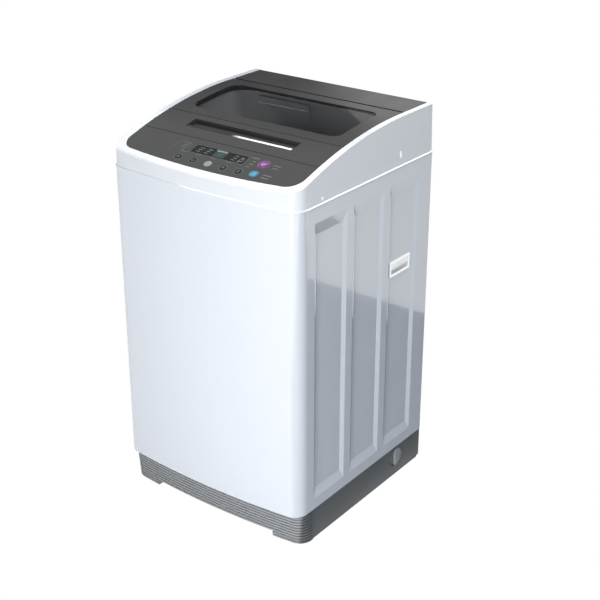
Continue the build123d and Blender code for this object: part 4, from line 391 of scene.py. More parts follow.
class Finish:
    """A material under construction: a Principled shader and its object coordinates."""

    def __init__(self, name):
        self.material = bpy.data.materials.new(name)
        self.material.use_nodes = True
        self.tree = self.material.node_tree
        self.shader = self.tree.nodes["Principled BSDF"]
        coords = self.tree.nodes.new("ShaderNodeTexCoord")
        self.place = coords.outputs["Object"]

    def set(self, **values):
        """Sets sockets of the shader; an underscore stands for a space."""
        for label, value in values.items():
            self.shader.inputs[label.replace("_", " ")].default_value = value
        return self

    def use(self, tree, **values):
        """Places a shader group on the piece's own coordinates."""
        node = self.tree.nodes.new("ShaderNodeGroup")
        node.node_tree = tree
        self.tree.links.new(self.place, node.inputs["Vector"])
        for label, value in values.items():
            node.inputs[label].default_value = value
        return node

    def roughness(self, least, spread, scale):
        """Roughness that drifts over the surface from the least upwards."""
        node = self.use(MOTTLE, Scale=scale, Low=least, High=least + spread)
        self.tree.links.new(node.outputs["Value"], self.shader.inputs["Roughness"])
        return self

    def colour(self, first, second, mask):
        """Base colour mixed from two by a mask."""
        mix = self.tree.nodes.new("ShaderNodeMix")
        mix.data_type = "RGBA"
        for socket, colour in zip(COLOUR_SOCKETS, (first, second)):
            mix.inputs[socket].default_value = (*colour, 1)
        self.tree.links.new(mask, mix.inputs[0])
        self.tree.links.new(mix.outputs[MIXED_COLOUR], self.shader.inputs["Base Color"])
        return self

    def bump(self, height, strength, depth=BUMP_DEPTH):
        """Fine relief from a height."""
        node = self.tree.nodes.new("ShaderNodeBump")
        node.inputs["Strength"].default_value = strength
        node.inputs["Distance"].default_value = depth
        self.tree.links.new(height, node.inputs["Height"])
        self.tree.links.new(node.outputs["Normal"], self.shader.inputs["Normal"])
        return self


def tinted(finish, colour, change, scale=5.0):
    """Base colour that drifts slightly over the surface."""
    mask = finish.use(MOTTLE, Scale=scale, Low=0.0, High=1.0).outputs["Value"]
    second = tuple(min(1.0, c * (1 + change)) for c in colour)
    return finish.colour(colour, second, mask)


def enamel(name, colour, rough, coat):
    """Sprayed and stoved paint under a clear coat."""
    finish = Finish(name)
    tinted(finish, colour, 0.012, scale=3.0)
    finish.roughness(rough, spread=0.05, scale=6.0)
    finish.set(Coat_Weight=coat, Coat_Roughness=0.04, Coat_IOR=1.75, IOR=1.5)
    peel = finish.use(PEEL, Scale=PEEL_SCALE)
    finish.bump(peel.outputs["Height"], strength=0.02)
    return finish.material


def moulded(name, colour, rough, grain, shine=0.5):
    """Moulded plastic or rubber with a fine grain."""
    finish = Finish(name)
    tinted(finish, colour, 0.04)
    finish.set(Specular_IOR_Level=shine)
    finish.roughness(rough, spread=0.08, scale=10.0)
    texture = finish.use(GRAIN, Scale=GRAIN_SCALE)
    finish.bump(texture.outputs["Height"], strength=grain)
    return finish.material


def metal(name, colour, rough):
    """Bare or plated metal with faint brushed lines."""
    finish = Finish(name)
    tinted(finish, colour, 0.03, scale=20.0)
    finish.roughness(rough, spread=0.03, scale=30.0)
    finish.set(Metallic=1.0)
    finish.bump(finish.use(BRUSHED).outputs["Height"], strength=0.15, depth=SHALLOW_BUMP)
    return finish.material


def painted_reflection_moulding(name, first, second, direction, span, rough, shine):
    """A moulding whose colour goes over from first to second within a span of a direction, as a
    painted reflection.
    """
    finish = Finish(name)
    step = finish.use(STEP, Direction=direction, From=span[0], To=span[1])
    finish.colour(first, second, step.outputs["Mask"])
    finish.set(Specular_IOR_Level=shine)
    finish.roughness(rough, spread=0.08, scale=10.0)
    texture = finish.use(GRAIN, Scale=GRAIN_SCALE)
    finish.bump(texture.outputs["Height"], strength=0.08)
    return finish.material


def polished(name, colour, metallic, rough):
    """Glossy insert that mirrors its surroundings in part."""
    finish = Finish(name)
    tinted(finish, colour, 0.02)
    finish.roughness(rough, spread=0.05, scale=12.0)
    finish.set(Metallic=metallic)
    peel = finish.use(PEEL, Scale=PEEL_SCALE)
    finish.bump(peel.outputs["Height"], strength=0.02, depth=SHALLOW_BUMP)
    return finish.material


def ribbed_plinth(name):
    """Grey front and corners, and flanks painted darker as painted shade."""
    finish = Finish(name)
    place = finish.tree.nodes.new("ShaderNodeSeparateXYZ")
    finish.tree.links.new(finish.place, place.inputs["Vector"])
    # painted shade: behind the ribbed corner the colour turns to the darker flank grey
    behind = remap(finish.tree, place.outputs["Y"], *PLINTH_CORNER_Y, 0.0, 1.0)
    finish.colour(PLINTH_FRONT_GREY, PLINTH_FLANK_SHADE_GREY, behind)
    finish.roughness(0.48, spread=0.10, scale=10.0)
    texture = finish.use(GRAIN, Scale=GRAIN_SCALE)
    finish.bump(texture.outputs["Height"], strength=0.2)
    return finish.material


def smoked(name):
    """Clear plastic, tinted nearly black."""
    finish = Finish(name)
    tinted(finish, (0.012, 0.013, 0.014), 0.3, scale=4.0)
    finish.roughness(0.03, spread=0.03, scale=5.0)
    finish.set(IOR=1.5, Specular_IOR_Level=0.22, Alpha=0.38)
    return finish.material


# mouldings are given as colour, least roughness and strength of grain
FINISHES = {
    "cabinet": enamel("cabinet_enamel", (0.77, 0.81, 0.88), 0.12, 1.0),
    "cover": enamel("cover_gloss", (0.80, 0.835, 0.89), 0.16, 0.8),
    "dark": moulded("dark_satin", (0.040, 0.040, 0.041), 0.3, 0.03, shine=0.3),
    "glass": smoked("smoked_glass"),
    "plinth": ribbed_plinth("plinth_grey"),
    "drain": moulded("drain_grey", (0.42, 0.435, 0.445), 0.45, 0.1),
    # the finger recess's strip: colour mixed from dark to bright along X, a painted reflection
    "strip": painted_reflection_moulding("recess_strip_painted_reflection", (0.02, 0.02, 0.021), (0.95, 0.95, 0.96), (1, 0, 0),
                      STRIP_REFLECTION_X, rough=0.3, shine=0.2),
    "insert": polished("white_insert", (0.97, 0.975, 0.98), 0.85, 0.08),
    "rubber": moulded("black_rubber", (0.03, 0.03, 0.03), 0.7, 0.3),
    "zinc": metal("zinc_sheet", (0.62, 0.63, 0.65), 0.35),
    "steel": metal("drum_steel", (0.66, 0.67, 0.68), 0.22),
    "white": moulded("white_moulding", (0.80, 0.81, 0.82), 0.4, 0.08),
    "tub": moulded("tub_moulding", (0.60, 0.62, 0.63), 0.45, 0.1),
    "alloy": metal("cast_alloy", (0.55, 0.56, 0.57), 0.5),
    "bright": metal("bright_trim", (0.92, 0.93, 0.94), 0.06),
    "black_gloss": moulded("display_lens", (0.010, 0.012, 0.012), 0.22, 0.01, shine=0.1),
    "board": moulded("board_laminate", (0.05, 0.18, 0.09), 0.5, 0.1),
    "key_dark": moulded("key_dark", (0.010, 0.016, 0.017), 0.35, 0.05, shine=0.15),
    "key_silver": moulded("key_silver", (0.30, 0.315, 0.32), 0.35, 0.05),
    "key_purple": moulded("key_purple", (0.135, 0.016, 0.165), 0.3, 0.05),
    "key_cyan": moulded("key_cyan", (0.015, 0.20, 0.36), 0.3, 0.05),
    "black_paint": enamel("black_paint", (0.03, 0.03, 0.032), 0.4, 0.2),
    "print_pale": moulded("print_pale", (0.20, 0.23, 0.23), 0.5, 0.02),
    "print_grey": moulded("print_grey", (0.13, 0.14, 0.14), 0.5, 0.02),
    "ring_teal": moulded("ring_teal", (0.10, 0.16, 0.16), 0.5, 0.02),
    "print_white": moulded("print_white", (0.55, 0.45, 0.57), 0.45, 0.02),
    "print_dark": moulded("print_dark", (0.16, 0.17, 0.17), 0.5, 0.02),
    "lcd_plate": moulded("lcd_plate", (0.030, 0.045, 0.043), 0.3, 0.01, shine=0.2),
    "lcd_figure": moulded("lcd_figure", (0.03, 0.14, 0.13), 0.3, 0.01),
    "program_rim": moulded("program_rim", (0.22, 0.045, 0.25), 0.3, 0.02),
    "power_rim": moulded("power_rim", (0.05, 0.33, 0.46), 0.3, 0.02),
    "power_mark": moulded("power_mark", (0.20, 0.42, 0.50), 0.4, 0.02),
}

SLOT_FINISH = {
    "white_shell": "cover", "white_paint": "cabinet", "dark_panel": "dark",
    "smoked_glass": "glass", "plinth_grey": "plinth", "black_rubber": "rubber",
    "zinc_steel": "zinc", "stainless": "steel", "white_plastic": "white", "tub_plastic": "tub",
    "cast_alloy": "alloy", "bright_trim": "bright", "display_black": "black_gloss",
    "board_green": "board", "key_dark": "key_dark", "key_silver": "key_silver",
    "key_purple": "key_purple", "key_cyan": "key_cyan", "black_paint": "black_paint",
}

NODE_FINISH = {"handle_strip": "strip", "side_grip_right": "insert", "side_grip_left": "insert",
               "casing_screws": "bright", "drain_cap": "drain"}

# radius of the rounded edges, in metres; every other node keeps the edges of its solid
ROUNDED_EDGES = {"top_cover": 0.0008, "cabinet": 0.0008, "control_panel": 0.0005,
                 "lid_frame": 0.0005, "lid_front_panel": 0.0005, "rear_fascia": 0.0005}
SIDE_WALL_DEPTH = 0.006    # depth that the pressed side panels take up
SIDE_WALL_START = 0.045    # the side walls begin this far behind the front


def on_side_wall(spot):
    return abs(spot.x) > HALF - SIDE_WALL_DEPTH and spot.y > FRONT_Y + SIDE_WALL_START


def dress_everything():
    """Dresses every frame node and returns the shells by their node's name."""
    shells = {}
    for node in frame["nodes"]:
        material = FINISHES[NODE_FINISH.get(node, SLOT_FINISH[slot_of_node(node)])]
        folds = on_side_wall if node == "cabinet" else None
        shells[node] = dressed(node, material, ROUNDED_EDGES.get(node, 0.0), folds)
    return shells


def let_springs_give(shells):
    """Gives its own mesh to each spring and bellows that a joint deforms. They hang from the tub
    by their upper ends and shorten as it sinks.

    The squash goes by the size of the travel alone, so they shorten as the tub rises too,
    and then come off what they stand on. That is inside the cabinet.
    """
    for joint in frame["record"]["behaviour"]["joints"]:
        for row in joint.get("deforming_nodes", []):
            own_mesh(shells[row["node"]])


let_springs_give(dress_everything())


# ---- marks and icons of the control panel ----------------------------------
PRINT = 0.00012            # thickness of a printed or inlaid mark
KEY_TOP = 0.00072          # faces of the keys above the crown
LENS_TOP = -0.0002         # face of the display lens, below the crown
ON_KEY = KEY_TOP + PRINT   # upper sides of marks on the keys, the lens and its lit plate
ON_LENS = LENS_TOP + PRINT
ON_PLATE = LENS_TOP + 3 * PRINT
HOOP_SIDES = 48

KEY_ROW_Y = FRONT_Y + 0.0405
KEY_ROW_START = -0.081
KEY_STEP = 0.0427
KEY_ROW = [KEY_ROW_START + KEY_STEP * i for i in range(5)]
SILVER_KEY = 2             # its place in the row
PROGRAM_SPOT = (0.129, FRONT_Y + 0.0795)
POWER_SPOT = (0.129, FRONT_Y + 0.0445)
DISPLAY_X = (-0.0675, 0.0805)
DISPLAY_Y = (FRONT_Y + 0.0642, FRONT_Y + 0.0918)


def lay(piece, x, y, turn, lift):
    """Lays a piece made flat at the origin on the crown at x, y, turned about its normal."""
    turned = Matrix.Rotation(crown_tilt(y), 4, "X") @ Matrix.Rotation(turn, 4, "Z")
    piece.location = above_crown(x, y, lift)
    piece.rotation_euler = turned.to_euler()
    return settle(piece)


def bar(x, y, length, width, turn=0.0, lift=PRINT):
    """A flat mark whose length lies along X before it is turned."""
    bpy.ops.mesh.primitive_plane_add(size=1)
    mark = bpy.context.object
    mark.scale = (length, width, 1)
    settle(mark)
    return lay(mark, x, y, turn, lift)


def hoop(x, y, radius, width, lift=PRINT, gap=None):
    """A flat ring, with a gap between two angles in degrees where they are given."""
    bpy.ops.mesh.primitive_circle_add(vertices=HOOP_SIDES, radius=radius, fill_type="NGON")
    ring = bpy.context.object
    bpy.ops.object.mode_set(mode="EDIT")
    bpy.ops.mesh.select_all(action="SELECT")
    bpy.ops.mesh.inset(thickness=width)
    bpy.ops.mesh.delete(type="FACE")
    bpy.ops.object.mode_set(mode="OBJECT")
    if gap:
        for face in ring.data.polygons:
            angle = degrees(atan2(face.center.y, face.center.x)) % 360
            face.select = gap[0] < angle < gap[1]
        bpy.ops.object.mode_set(mode="EDIT")
        bpy.ops.mesh.delete(type="FACE")
        bpy.ops.object.mode_set(mode="OBJECT")
    return lay(ring, x, y, 0.0, lift)


def inlay(name, marks, finish, body="root"):
    """Joins flat marks, gives them the thickness of a print and fixes them to a body."""
    piece = joined(marks, name)
    bpy.ops.object.mode_set(mode="EDIT")
    bpy.ops.mesh.select_all(action="SELECT")
    bpy.ops.mesh.normals_make_consistent(inside=False)
    bpy.ops.object.mode_set(mode="OBJECT")
    if piece.data.polygons[0].normal.z < 0:
        piece.data.flip_normals()
    plate = piece.modifiers.new("thickness", "SOLIDIFY")
    plate.thickness = PRINT
    plate.offset = -1
    apply_all(piece)
    return finish_piece(smooth(piece), body, FINISHES[finish])


# ---- figures and marks of the display
FIGURE_HALF = 0.0023       # half the width of a figure
FIGURE_STEP = 0.0045       # from its middle bar to the upper or the lower one
FIGURE_BAR = 0.0011        # width of its bars
FIGURE_GAP = 0.6           # what a bar gives up for the next, as a share of its width
FIGURE_LEAN = 0.12
# bars of a figure: how far to the side and up, and whether the bar lies flat
DIGIT_BARS = {"a": (0, 1, True), "g": (0, 0, True), "d": (0, -1, True),
              "f": (-1, 0.5, False), "b": (1, 0.5, False),
              "e": (-1, -0.5, False), "c": (1, -0.5, False)}
DIGITS = {"3": "abcdg", "8": "abcdefg"}

LENS_MARGIN = 0.001        # printed outline, outside the lens
LENS_LINE = 0.0006
PLATE_X = 0.0085           # lit plate
PLATE_WIDTH = 0.032
PLATE_FORWARD = 0.0005
PLATE_SHORTER = 0.0035     # than the lens, from front to back
HEADING_LEFT = 0.001       # pale heading on the lit plate, from the plate's middle
HEADING_IN = 0.0042        # and from the lens's rear edge
HEADING_SIZE = (0.029, 0.0052)
FIGURE_PLACES = (("3", -0.0052), ("8", 0.0042))
FIGURE_FORWARD = 0.0028
LIGHT_WIDTH = 0.0017       # indicator marks beside the plate
LIGHT_ROWS = 3
LIGHT_IN = 0.007           # first row, from the lens's rear edge
# columns of indicator marks: x, shift and step of each row, length
LIGHT_COLUMNS = ((-0.046, 0.002, 0.0068, 0.010), (-0.0235, 0.002, 0.0068, 0.010),
                 (0.0515, 0.001, 0.0072, 0.009))
SQUARE_X = (0.0655, 0.0735)         # small open square beside the last column
SQUARE_IN = (0.0075, 0.0155)        # from the lens's front edge
SQUARE_LINE = 0.0012
# single marks behind and in front of the square: x, distance from the front edge, length
SQUARE_MARKS = ((0.0695, 0.019, 0.009), (0.0655, 0.0045, 0.007))


def digit(figure, x, y, lift):
    """A seven-bar figure, leaning a little as such displays do."""
    cut = FIGURE_GAP * FIGURE_BAR
    marks = []
    for label in DIGITS[figure]:
        side, level, flat = DIGIT_BARS[label]
        spot_x = x + side * FIGURE_HALF + FIGURE_LEAN * level * FIGURE_STEP
        spot_y = y + level * FIGURE_STEP
        length = (2 * FIGURE_HALF if flat else FIGURE_STEP) - cut
        turn = 0 if flat else pi / 2 - FIGURE_LEAN
        marks.append(bar(spot_x, spot_y, length, FIGURE_BAR, turn, lift))
    return marks


def frame_marks(x0, x1, y0, y1, width, lift=PRINT):
    """Four bars round a rectangle."""
    middle_x, middle_y = (x0 + x1) / 2, (y0 + y1) / 2
    return [bar(middle_x, y0, x1 - x0, width, lift=lift),
            bar(middle_x, y1, x1 - x0, width, lift=lift),
            bar(x0, middle_y, width, y1 - y0, lift=lift),
            bar(x1, middle_y, width, y1 - y0, lift=lift)]


def make_display():
    """Lens outline, the lit plate with its figures and the indicator marks."""
    left, right = DISPLAY_X
    front, back = DISPLAY_Y
    middle_y = (front + back) / 2
    outline = frame_marks(left - LENS_MARGIN, right + LENS_MARGIN,
                          front - LENS_MARGIN, back + LENS_MARGIN, LENS_LINE)
    inlay("display_outline", outline, "print_grey")
    plate = bar(PLATE_X, middle_y - PLATE_FORWARD, PLATE_WIDTH, back - front - PLATE_SHORTER,
                lift=ON_LENS)
    inlay("display_centre", [plate], "lcd_plate")
    heading = bar(PLATE_X - HEADING_LEFT, back - HEADING_IN, *HEADING_SIZE, lift=ON_PLATE)
    inlay("display_heading", [heading], "print_pale")
    figures = []
    for figure, shift in FIGURE_PLACES:
        figures += digit(figure, PLATE_X + shift, middle_y - FIGURE_FORWARD, ON_PLATE)
    inlay("display_figures", figures, "lcd_figure")
    lights = []
    for x, shift, step, length in LIGHT_COLUMNS:
        for row in range(LIGHT_ROWS):
            lights.append(bar(x - shift * row, back - LIGHT_IN - step * row, length,
                              LIGHT_WIDTH, lift=ON_LENS))
    lights += frame_marks(*SQUARE_X, front + SQUARE_IN[0], front + SQUARE_IN[1],
                          SQUARE_LINE, ON_LENS)
    for x, distance, length in SQUARE_MARKS:
        lights.append(bar(x, front + distance, length, LIGHT_WIDTH, lift=ON_LENS))
    inlay("display_marks", lights, "print_pale")


# ---- dashes beside the display and the keys
KEY_DASH_BEHIND = 0.0195   # from the middle of the key row
KEY_DASH_WIDTH = 0.0015
KEY_DASH_LENGTHS = (0.022, 0.016, 0.016, 0.016)
# dashes beside the round keys: x, distance behind the front, length
DASHES = ((0.1615, 0.0835, 0.021), (0.162, 0.0745, 0.014),
          (0.1625, 0.0483, 0.023), (0.1615, 0.0395, 0.020),
          (0.0965, 0.0925, 0.022), (0.1015, 0.0805, 0.009),
          (0.1005, 0.0705, 0.009), (0.0985, 0.0605, 0.009))
DASH_WIDTH = 0.0024
LIST_X = -0.091            # list of dashes left of the display
LIST_BEHIND = 0.0885
LIST_ROWS = 4
LIST_STEP = 0.0075
LIST_LENGTH = 0.015
LIST_SHRINK = 0.002        # each dash of the list is shorter by this
LIST_WIDTH = 0.0016
# thin lines round that list: x, distance behind the front, length, turn
LINES = ((-0.1205, 0.077, 0.0245, pi / 2 - 0.15), (-0.113, 0.0895, 0.016, 0),
         (-0.099, 0.0793, 0.0145, pi / 2), (-0.0985, 0.0925, 0.030, 0))
LINE_WIDTH = 0.0007


def make_legends():
    """Plain dashes that stand where a maker prints its words."""
    dashes = [bar(x, KEY_ROW_Y + KEY_DASH_BEHIND, length, KEY_DASH_WIDTH)
              for x, length in zip(KEY_ROW, KEY_DASH_LENGTHS)]
    for x, distance, length in DASHES:
        dashes.append(bar(x, FRONT_Y + distance, length, DASH_WIDTH))
    for row in range(LIST_ROWS):
        dashes.append(bar(LIST_X, FRONT_Y + LIST_BEHIND - LIST_STEP * row,
                          LIST_LENGTH - LIST_SHRINK * row, LIST_WIDTH))
    inlay("panel_dashes", dashes, "print_grey")
    lines = [bar(x, FRONT_Y + distance, length, LINE_WIDTH, turn)
             for x, distance, length, turn in LINES]
    inlay("panel_lines", lines, "print_grey")


# ---- rings and icons of the keys; a ring is given as its radius and the width of its line
KEY_RING = (0.0103, 0.0011)
PROGRAM_RIM = (0.0128, 0.0014)
PROGRAM_RING = (0.0147, 0.0010)
PROGRAM_ICON_RING = (0.0048, 0.0015)
POWER_RIM = (0.0094, 0.0012)
POWER_RING = (0.0111, 0.0009)
POWER_ICON_RING = (0.0046, 0.0013)


def slanted_bars(x, y):
    return [bar(x, y + 0.0012, 0.007, 0.0012, 0.5, ON_KEY),
            bar(x, y - 0.0016, 0.007, 0.0012, 0.5, ON_KEY)]


def open_ring(x, y):
    return [hoop(x, y, 0.0036, 0.0010, ON_KEY, gap=(20, 120))]


def ring_in_ring(x, y):
    return [hoop(x, y, 0.0056, 0.0011, ON_KEY, gap=(30, 80)),
            hoop(x, y, 0.0028, 0.0011, ON_KEY)]


def ring_with_stroke(x, y):
    return [hoop(x, y, 0.0034, 0.0010, ON_KEY, gap=(200, 320)),
            bar(x - 0.001, y - 0.001, 0.0042, 0.0012, 0.7, ON_KEY)]


def upright_bar(x, y):
    return [bar(x, y, 0.0088, 0.0017, pi / 2 - 0.1, ON_KEY)]


KEY_ICONS = (slanted_bars, open_ring, ring_in_ring, ring_with_stroke, upright_bar)


def make_key_marks():
    """A ring round each key of the row and an icon on it, and the same for the large keys."""
    for i, x in enumerate(KEY_ROW):
        finish = "print_grey" if i == SILVER_KEY else "ring_teal"
        inlay(f"key_ring_{i + 1}", [hoop(x, KEY_ROW_Y, *KEY_RING)], finish)
    for i, x in enumerate(KEY_ROW):
        finish = "print_dark" if i == SILVER_KEY else "print_pale"
        inlay(f"key_icon_{i + 1}", KEY_ICONS[i](x, KEY_ROW_Y), finish,
              f"key_function_button_{i + 1}")

    x, y = PROGRAM_SPOT
    inlay("program_rim", [hoop(x, y, *PROGRAM_RIM, ON_KEY)], "program_rim",
          "key_program_button")
    icon = [hoop(x - 0.0012, y, *PROGRAM_ICON_RING, ON_KEY, gap=(20, 70)),
            bar(x + 0.0040, y + 0.0012, 0.0095, 0.0016, 0.95, ON_KEY)]
    inlay("program_icon", icon, "print_white", "key_program_button")
    inlay("program_ring", [hoop(x, y, *PROGRAM_RING)], "print_grey")

    x, y = POWER_SPOT
    inlay("power_rim", [hoop(x, y, *POWER_RIM, ON_KEY)], "power_rim", "key_power_button")
    icon = [hoop(x, y, *POWER_ICON_RING, ON_KEY, gap=(60, 120)),
            bar(x, y + 0.0034, 0.0048, 0.0012, pi / 2, ON_KEY)]
    inlay("power_icon", icon, "power_mark", "key_power_button")
    inlay("power_ring", [hoop(x, y, *POWER_RING)], "print_grey")


# ---- bars in the slots of the cover's sides --------------------------------
COVER_HEIGHT = 0.1165
SEAM_Z = TOP_Z - COVER_HEIGHT       # cabinet to top cover
SLOT_Y = BACK_Y - 0.1395
SLOT_Z = (SEAM_Z + 0.020, SEAM_Z + 0.039)
COVER_FOOT = 0.0022        # foot of the cover's walls behind its hem
SLOT_BAR_RADIUS = 0.0034
SLOT_BAR_THICK = 0.003
SLOT_BAR_GAP = 0.0007      # above and below the bar
SLOT_BAR_IN = 0.0026       # middle of the bar behind the wall
SLOT_BAR_EDGE = 0.0004
SLOT_BAR_SIDES = 32


def make_slot_inserts():
    """White bar inside the slot of each side of the cover."""
    stretch = (SLOT_Z[1] - SLOT_Z[0]) / 2 - SLOT_BAR_RADIUS - SLOT_BAR_GAP
    for name, side in (("right", 1), ("left", -1)):
        bpy.ops.mesh.primitive_cylinder_add(vertices=SLOT_BAR_SIDES, radius=SLOT_BAR_RADIUS,
                                            depth=SLOT_BAR_THICK, rotation=(0, pi / 2, 0))
        insert = settle(named("slot_insert_" + name))
        for vertex in insert.data.vertices:
            vertex.co.z += stretch if vertex.co.z > 0 else -stretch
        insert.location = (side * (HALF - COVER_FOOT - SLOT_BAR_IN), SLOT_Y, sum(SLOT_Z) / 2)
        settle(insert)
        finish_piece(rounded(insert, SLOT_BAR_EDGE), "root", FINISHES["insert"])


# ---- beads of the loading well ---------------------------------------------
WELL_HALF = HALF - 0.051   # half the width of the loading well
WELL_BACK_Y = BACK_Y - 0.1175
WELL_CORNER = 0.062
BEAD_Z = 0.918
BEAD = 0.0014              # radius of the bead
BEAD_CORNERS = 2           # steps of its rounded section
BEAD_SMOOTH = 50           # degrees
BEAD_START_Y = -0.06       # front end of the bead on the left wall
TURN_STEPS = 16            # steps round the well's corner
DRAWER_X = (-0.156, -0.004)
DRAWER_PROUD = 0.008       # drawer front before the wall
DRAWER_BEAD_IN = 0.003     # ends of the drawer's bead inside the drawer's
DRAWER_BEAD_GAP = 0.004    # between the drawer and the bead to its right


def bead(name, points, body="root"):
    """A thin round moulding that follows a run of points."""
    curve = bpy.data.curves.new(name, "CURVE")
    curve.dimensions = "3D"
    curve.bevel_depth = BEAD
    curve.bevel_resolution = BEAD_CORNERS
    curve.use_fill_caps = True
    run = curve.splines.new("POLY")
    run.points.add(len(points) - 1)
    for point, place in zip(run.points, points):
        point.co = (*place, 1)
    strand = bpy.data.objects.new(name, curve)
    bpy.context.scene.collection.objects.link(strand)
    only(strand)
    bpy.ops.object.convert(target="MESH")
    piece = bpy.context.object
    piece.data.name = name
    return finish_piece(smooth(piece, BEAD_SMOOTH), body, FINISHES["insert"])


def make_well_beads():
    """Pale edge round the left wall of the well, across the drawer and on to the right."""
    inner = WELL_HALF - BEAD / 2
    back = WELL_BACK_Y - BEAD / 2
    turn = WELL_CORNER - BEAD / 2
    run = [(-inner, BEAD_START_Y, BEAD_Z)]
    for step in range(TURN_STEPS + 1):
        angle = pi - step * pi / (2 * TURN_STEPS)
        run.append((-inner + turn + turn * cos(angle), back - turn + turn * sin(angle), BEAD_Z))
    bead("well_bead_left", run)
    drawer_left, drawer_right = DRAWER_X
    bead("well_bead_right", [(drawer_right + DRAWER_BEAD_GAP, back, BEAD_Z),
                             (inner - turn, back, BEAD_Z)])
    front = WELL_BACK_Y - DRAWER_PROUD - BEAD / 2
    bead("drawer_bead", [(drawer_left + DRAWER_BEAD_IN, front, BEAD_Z),
                         (drawer_right - DRAWER_BEAD_IN, front, BEAD_Z)], "drawer")


make_well_beads()
make_slot_inserts()
make_display()
make_legends()
make_key_marks()


# ---- stage, light and camera ----------------------------------------------
SEEN_RAYS = ("Is Camera Ray", "Is Glossy Ray", "Is Transmission Ray")
WHITE = (1, 1, 1)
SKY_TINT = (0.86, 0.93, 1.0)
SKY_STRENGTH = 0.16
FLOOR_SIZE = 14
FLOOR_GREY = (0.5, 0.53, 0.57)
PAPER_ROUGHNESS = 0.9
CARD_GREY = (0.10, 0.11, 0.13)
UPRIGHT_CARD_GREY = (0.10, 0.10, 0.105)
CARD_Z = 0.001             # the lying cards, just above the floor
CARD_END_Y = 1.03          # the cabinet's side turns bright where it mirrors what is behind this
KEY_TINT = (1, 0.995, 0.98)
GLINT_POWER = 14
GLINT_TARGET = (0, 0, 0.95)
GLINT_PLACES = {"side_glint": (1.15, 2.2, 2.4), "front_glint": (-1.3, -1.1, 2.9)}
CAMERA_PLACE = (1.737, -2.207, 1.776)
CAMERA_TARGET = (0.0802, 0.0, 0.5029)
CAMERA_LENS = 76.06        # millimetres, as is the sensor
CAMERA_SENSOR = 36.0


def mixed_by_ray(tree, rays, plain, seen):
    """Shader socket: plain for the object's light, seen where a ray of these kinds looks."""
    paths = tree.nodes.new("ShaderNodeLightPath")
    total = paths.outputs[rays[0]]
    for label in rays[1:]:
        total = math(tree, "MAXIMUM", total, paths.outputs[label])
    mix = tree.nodes.new("ShaderNodeMixShader")
    tree.links.new(total, mix.inputs[0])
    tree.links.new(plain, mix.inputs[1])
    tree.links.new(seen, mix.inputs[2])
    return mix.outputs[0]


def make_world():
    """Soft light for the object, and white where the background is seen."""
    world = bpy.data.worlds.new("studio")
    bpy.context.scene.world = world
    world.use_nodes = True
    tree = world.node_tree
    plain = tree.nodes["Background"]
    plain.inputs["Color"].default_value = (*SKY_TINT, 1)
    plain.inputs["Strength"].default_value = SKY_STRENGTH
    seen = tree.nodes.new("ShaderNodeBackground")
    seen.inputs["Color"].default_value = (*WHITE, 1)
    seen.inputs["Strength"].default_value = 1.0
    out = tree.nodes["World Output"]
    shader = mixed_by_ray(tree, SEEN_RAYS, plain.outputs[0], seen.outputs[0])
    tree.links.new(shader, out.inputs["Surface"])


def paper_material(name, colour, glow_rays):
    """Studio paper; it shows as plain white to the kinds of ray given, if any."""
    material = bpy.data.materials.new(name)
    material.use_nodes = True
    tree = material.node_tree
    paper = tree.nodes["Principled BSDF"]
    paper.inputs["Base Color"].default_value = (*colour, 1)
    paper.inputs["Roughness"].default_value = PAPER_ROUGHNESS
    if glow_rays:
        glow = tree.nodes.new("ShaderNodeEmission")
        glow.inputs["Color"].default_value = (*WHITE, 1)
        shader = mixed_by_ray(tree, glow_rays, paper.outputs[0], glow.outputs[0])
        tree.links.new(shader, tree.nodes["Material Output"].inputs["Surface"])
    return material


def make_floor():
    clear_selection()
    bpy.ops.mesh.primitive_plane_add(size=FLOOR_SIZE)
    floor = named("floor")
    floor.data.materials.append(paper_material("floor_paper", FLOOR_GREY, SEEN_RAYS))


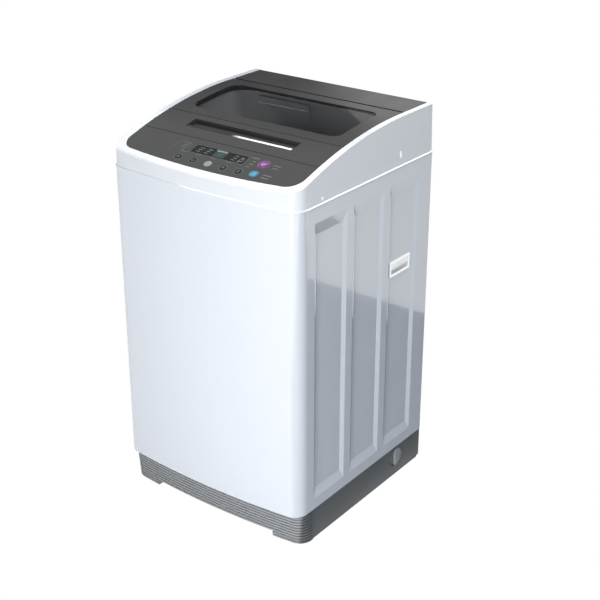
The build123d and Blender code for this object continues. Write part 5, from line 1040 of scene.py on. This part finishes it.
def make_card(name, low, high, colour):
    """Grey card seen only in polished surfaces; low and high are its opposite corners."""
    size = [high[i] - low[i] for i in range(3)]
    middle = [(high[i] + low[i]) / 2 for i in range(3)]
    bpy.ops.mesh.primitive_plane_add(size=1, location=middle)
    card = named(name)
    if size[2] > size[1]:
        card.rotation_euler = (pi / 2, 0, 0)
        card.scale = (size[0], size[2], 1)
    else:
        card.scale = (size[0], size[1], 1)
    card.data.materials.append(paper_material(name + "_paper", colour, ()))
    card.visible_camera = False
    card.visible_diffuse = False
    card.visible_shadow = False
    card.visible_transmission = False


def lamp(name, place, target, width, height, power, colour=WHITE):
    """A rectangular lamp that the camera doesn't see; power is in watts."""
    data = bpy.data.lights.new(name, "AREA")
    data.shape = "RECTANGLE"
    data.size = width
    data.size_y = height
    data.energy = power
    data.color = colour
    lamp_object = bpy.data.objects.new(name, data)
    bpy.context.scene.collection.objects.link(lamp_object)
    lamp_object.location = place
    aim = Vector(target) - Vector(place)
    lamp_object.rotation_euler = aim.to_track_quat("-Z", "Y").to_euler()
    lamp_object.visible_camera = False
    return lamp_object


def make_camera():
    data = bpy.data.cameras.new("camera")
    data.lens = CAMERA_LENS
    data.sensor_width = CAMERA_SENSOR
    camera = bpy.data.objects.new("camera", data)
    bpy.context.scene.collection.objects.link(camera)
    camera.location = CAMERA_PLACE
    aim = Vector(CAMERA_TARGET) - camera.location
    camera.rotation_euler = aim.to_track_quat("-Z", "Y").to_euler()
    bpy.context.scene.camera = camera


make_world()
make_floor()
make_card("side_card", (0.30, -1.2, CARD_Z), (2.6, CARD_END_Y, CARD_Z), CARD_GREY)
make_card("rear_card", (-0.6, CARD_END_Y, CARD_Z), (0.50, 3.0, CARD_Z), CARD_GREY)
make_card("top_card", (-3.6, 2.2, 0.7), (-1.35, 2.2, 3.3), UPRIGHT_CARD_GREY)
make_camera()
lamp("key", (0.8, -2.1, 0.85), (0.95, -0.2, 0.55), width=0.7, height=1.7, power=41,
     colour=KEY_TINT)
lamp("top", (0.4, 0.15, 2.8), (0.1, 0, 0.9), width=0.8, height=0.8, power=45)
for name, place in GLINT_PLACES.items():
    glint = lamp(name, place, GLINT_TARGET, width=1.2, height=0.9, power=GLINT_POWER)
    glint.visible_diffuse = False

bpy.context.scene.view_settings.view_transform = "Standard"
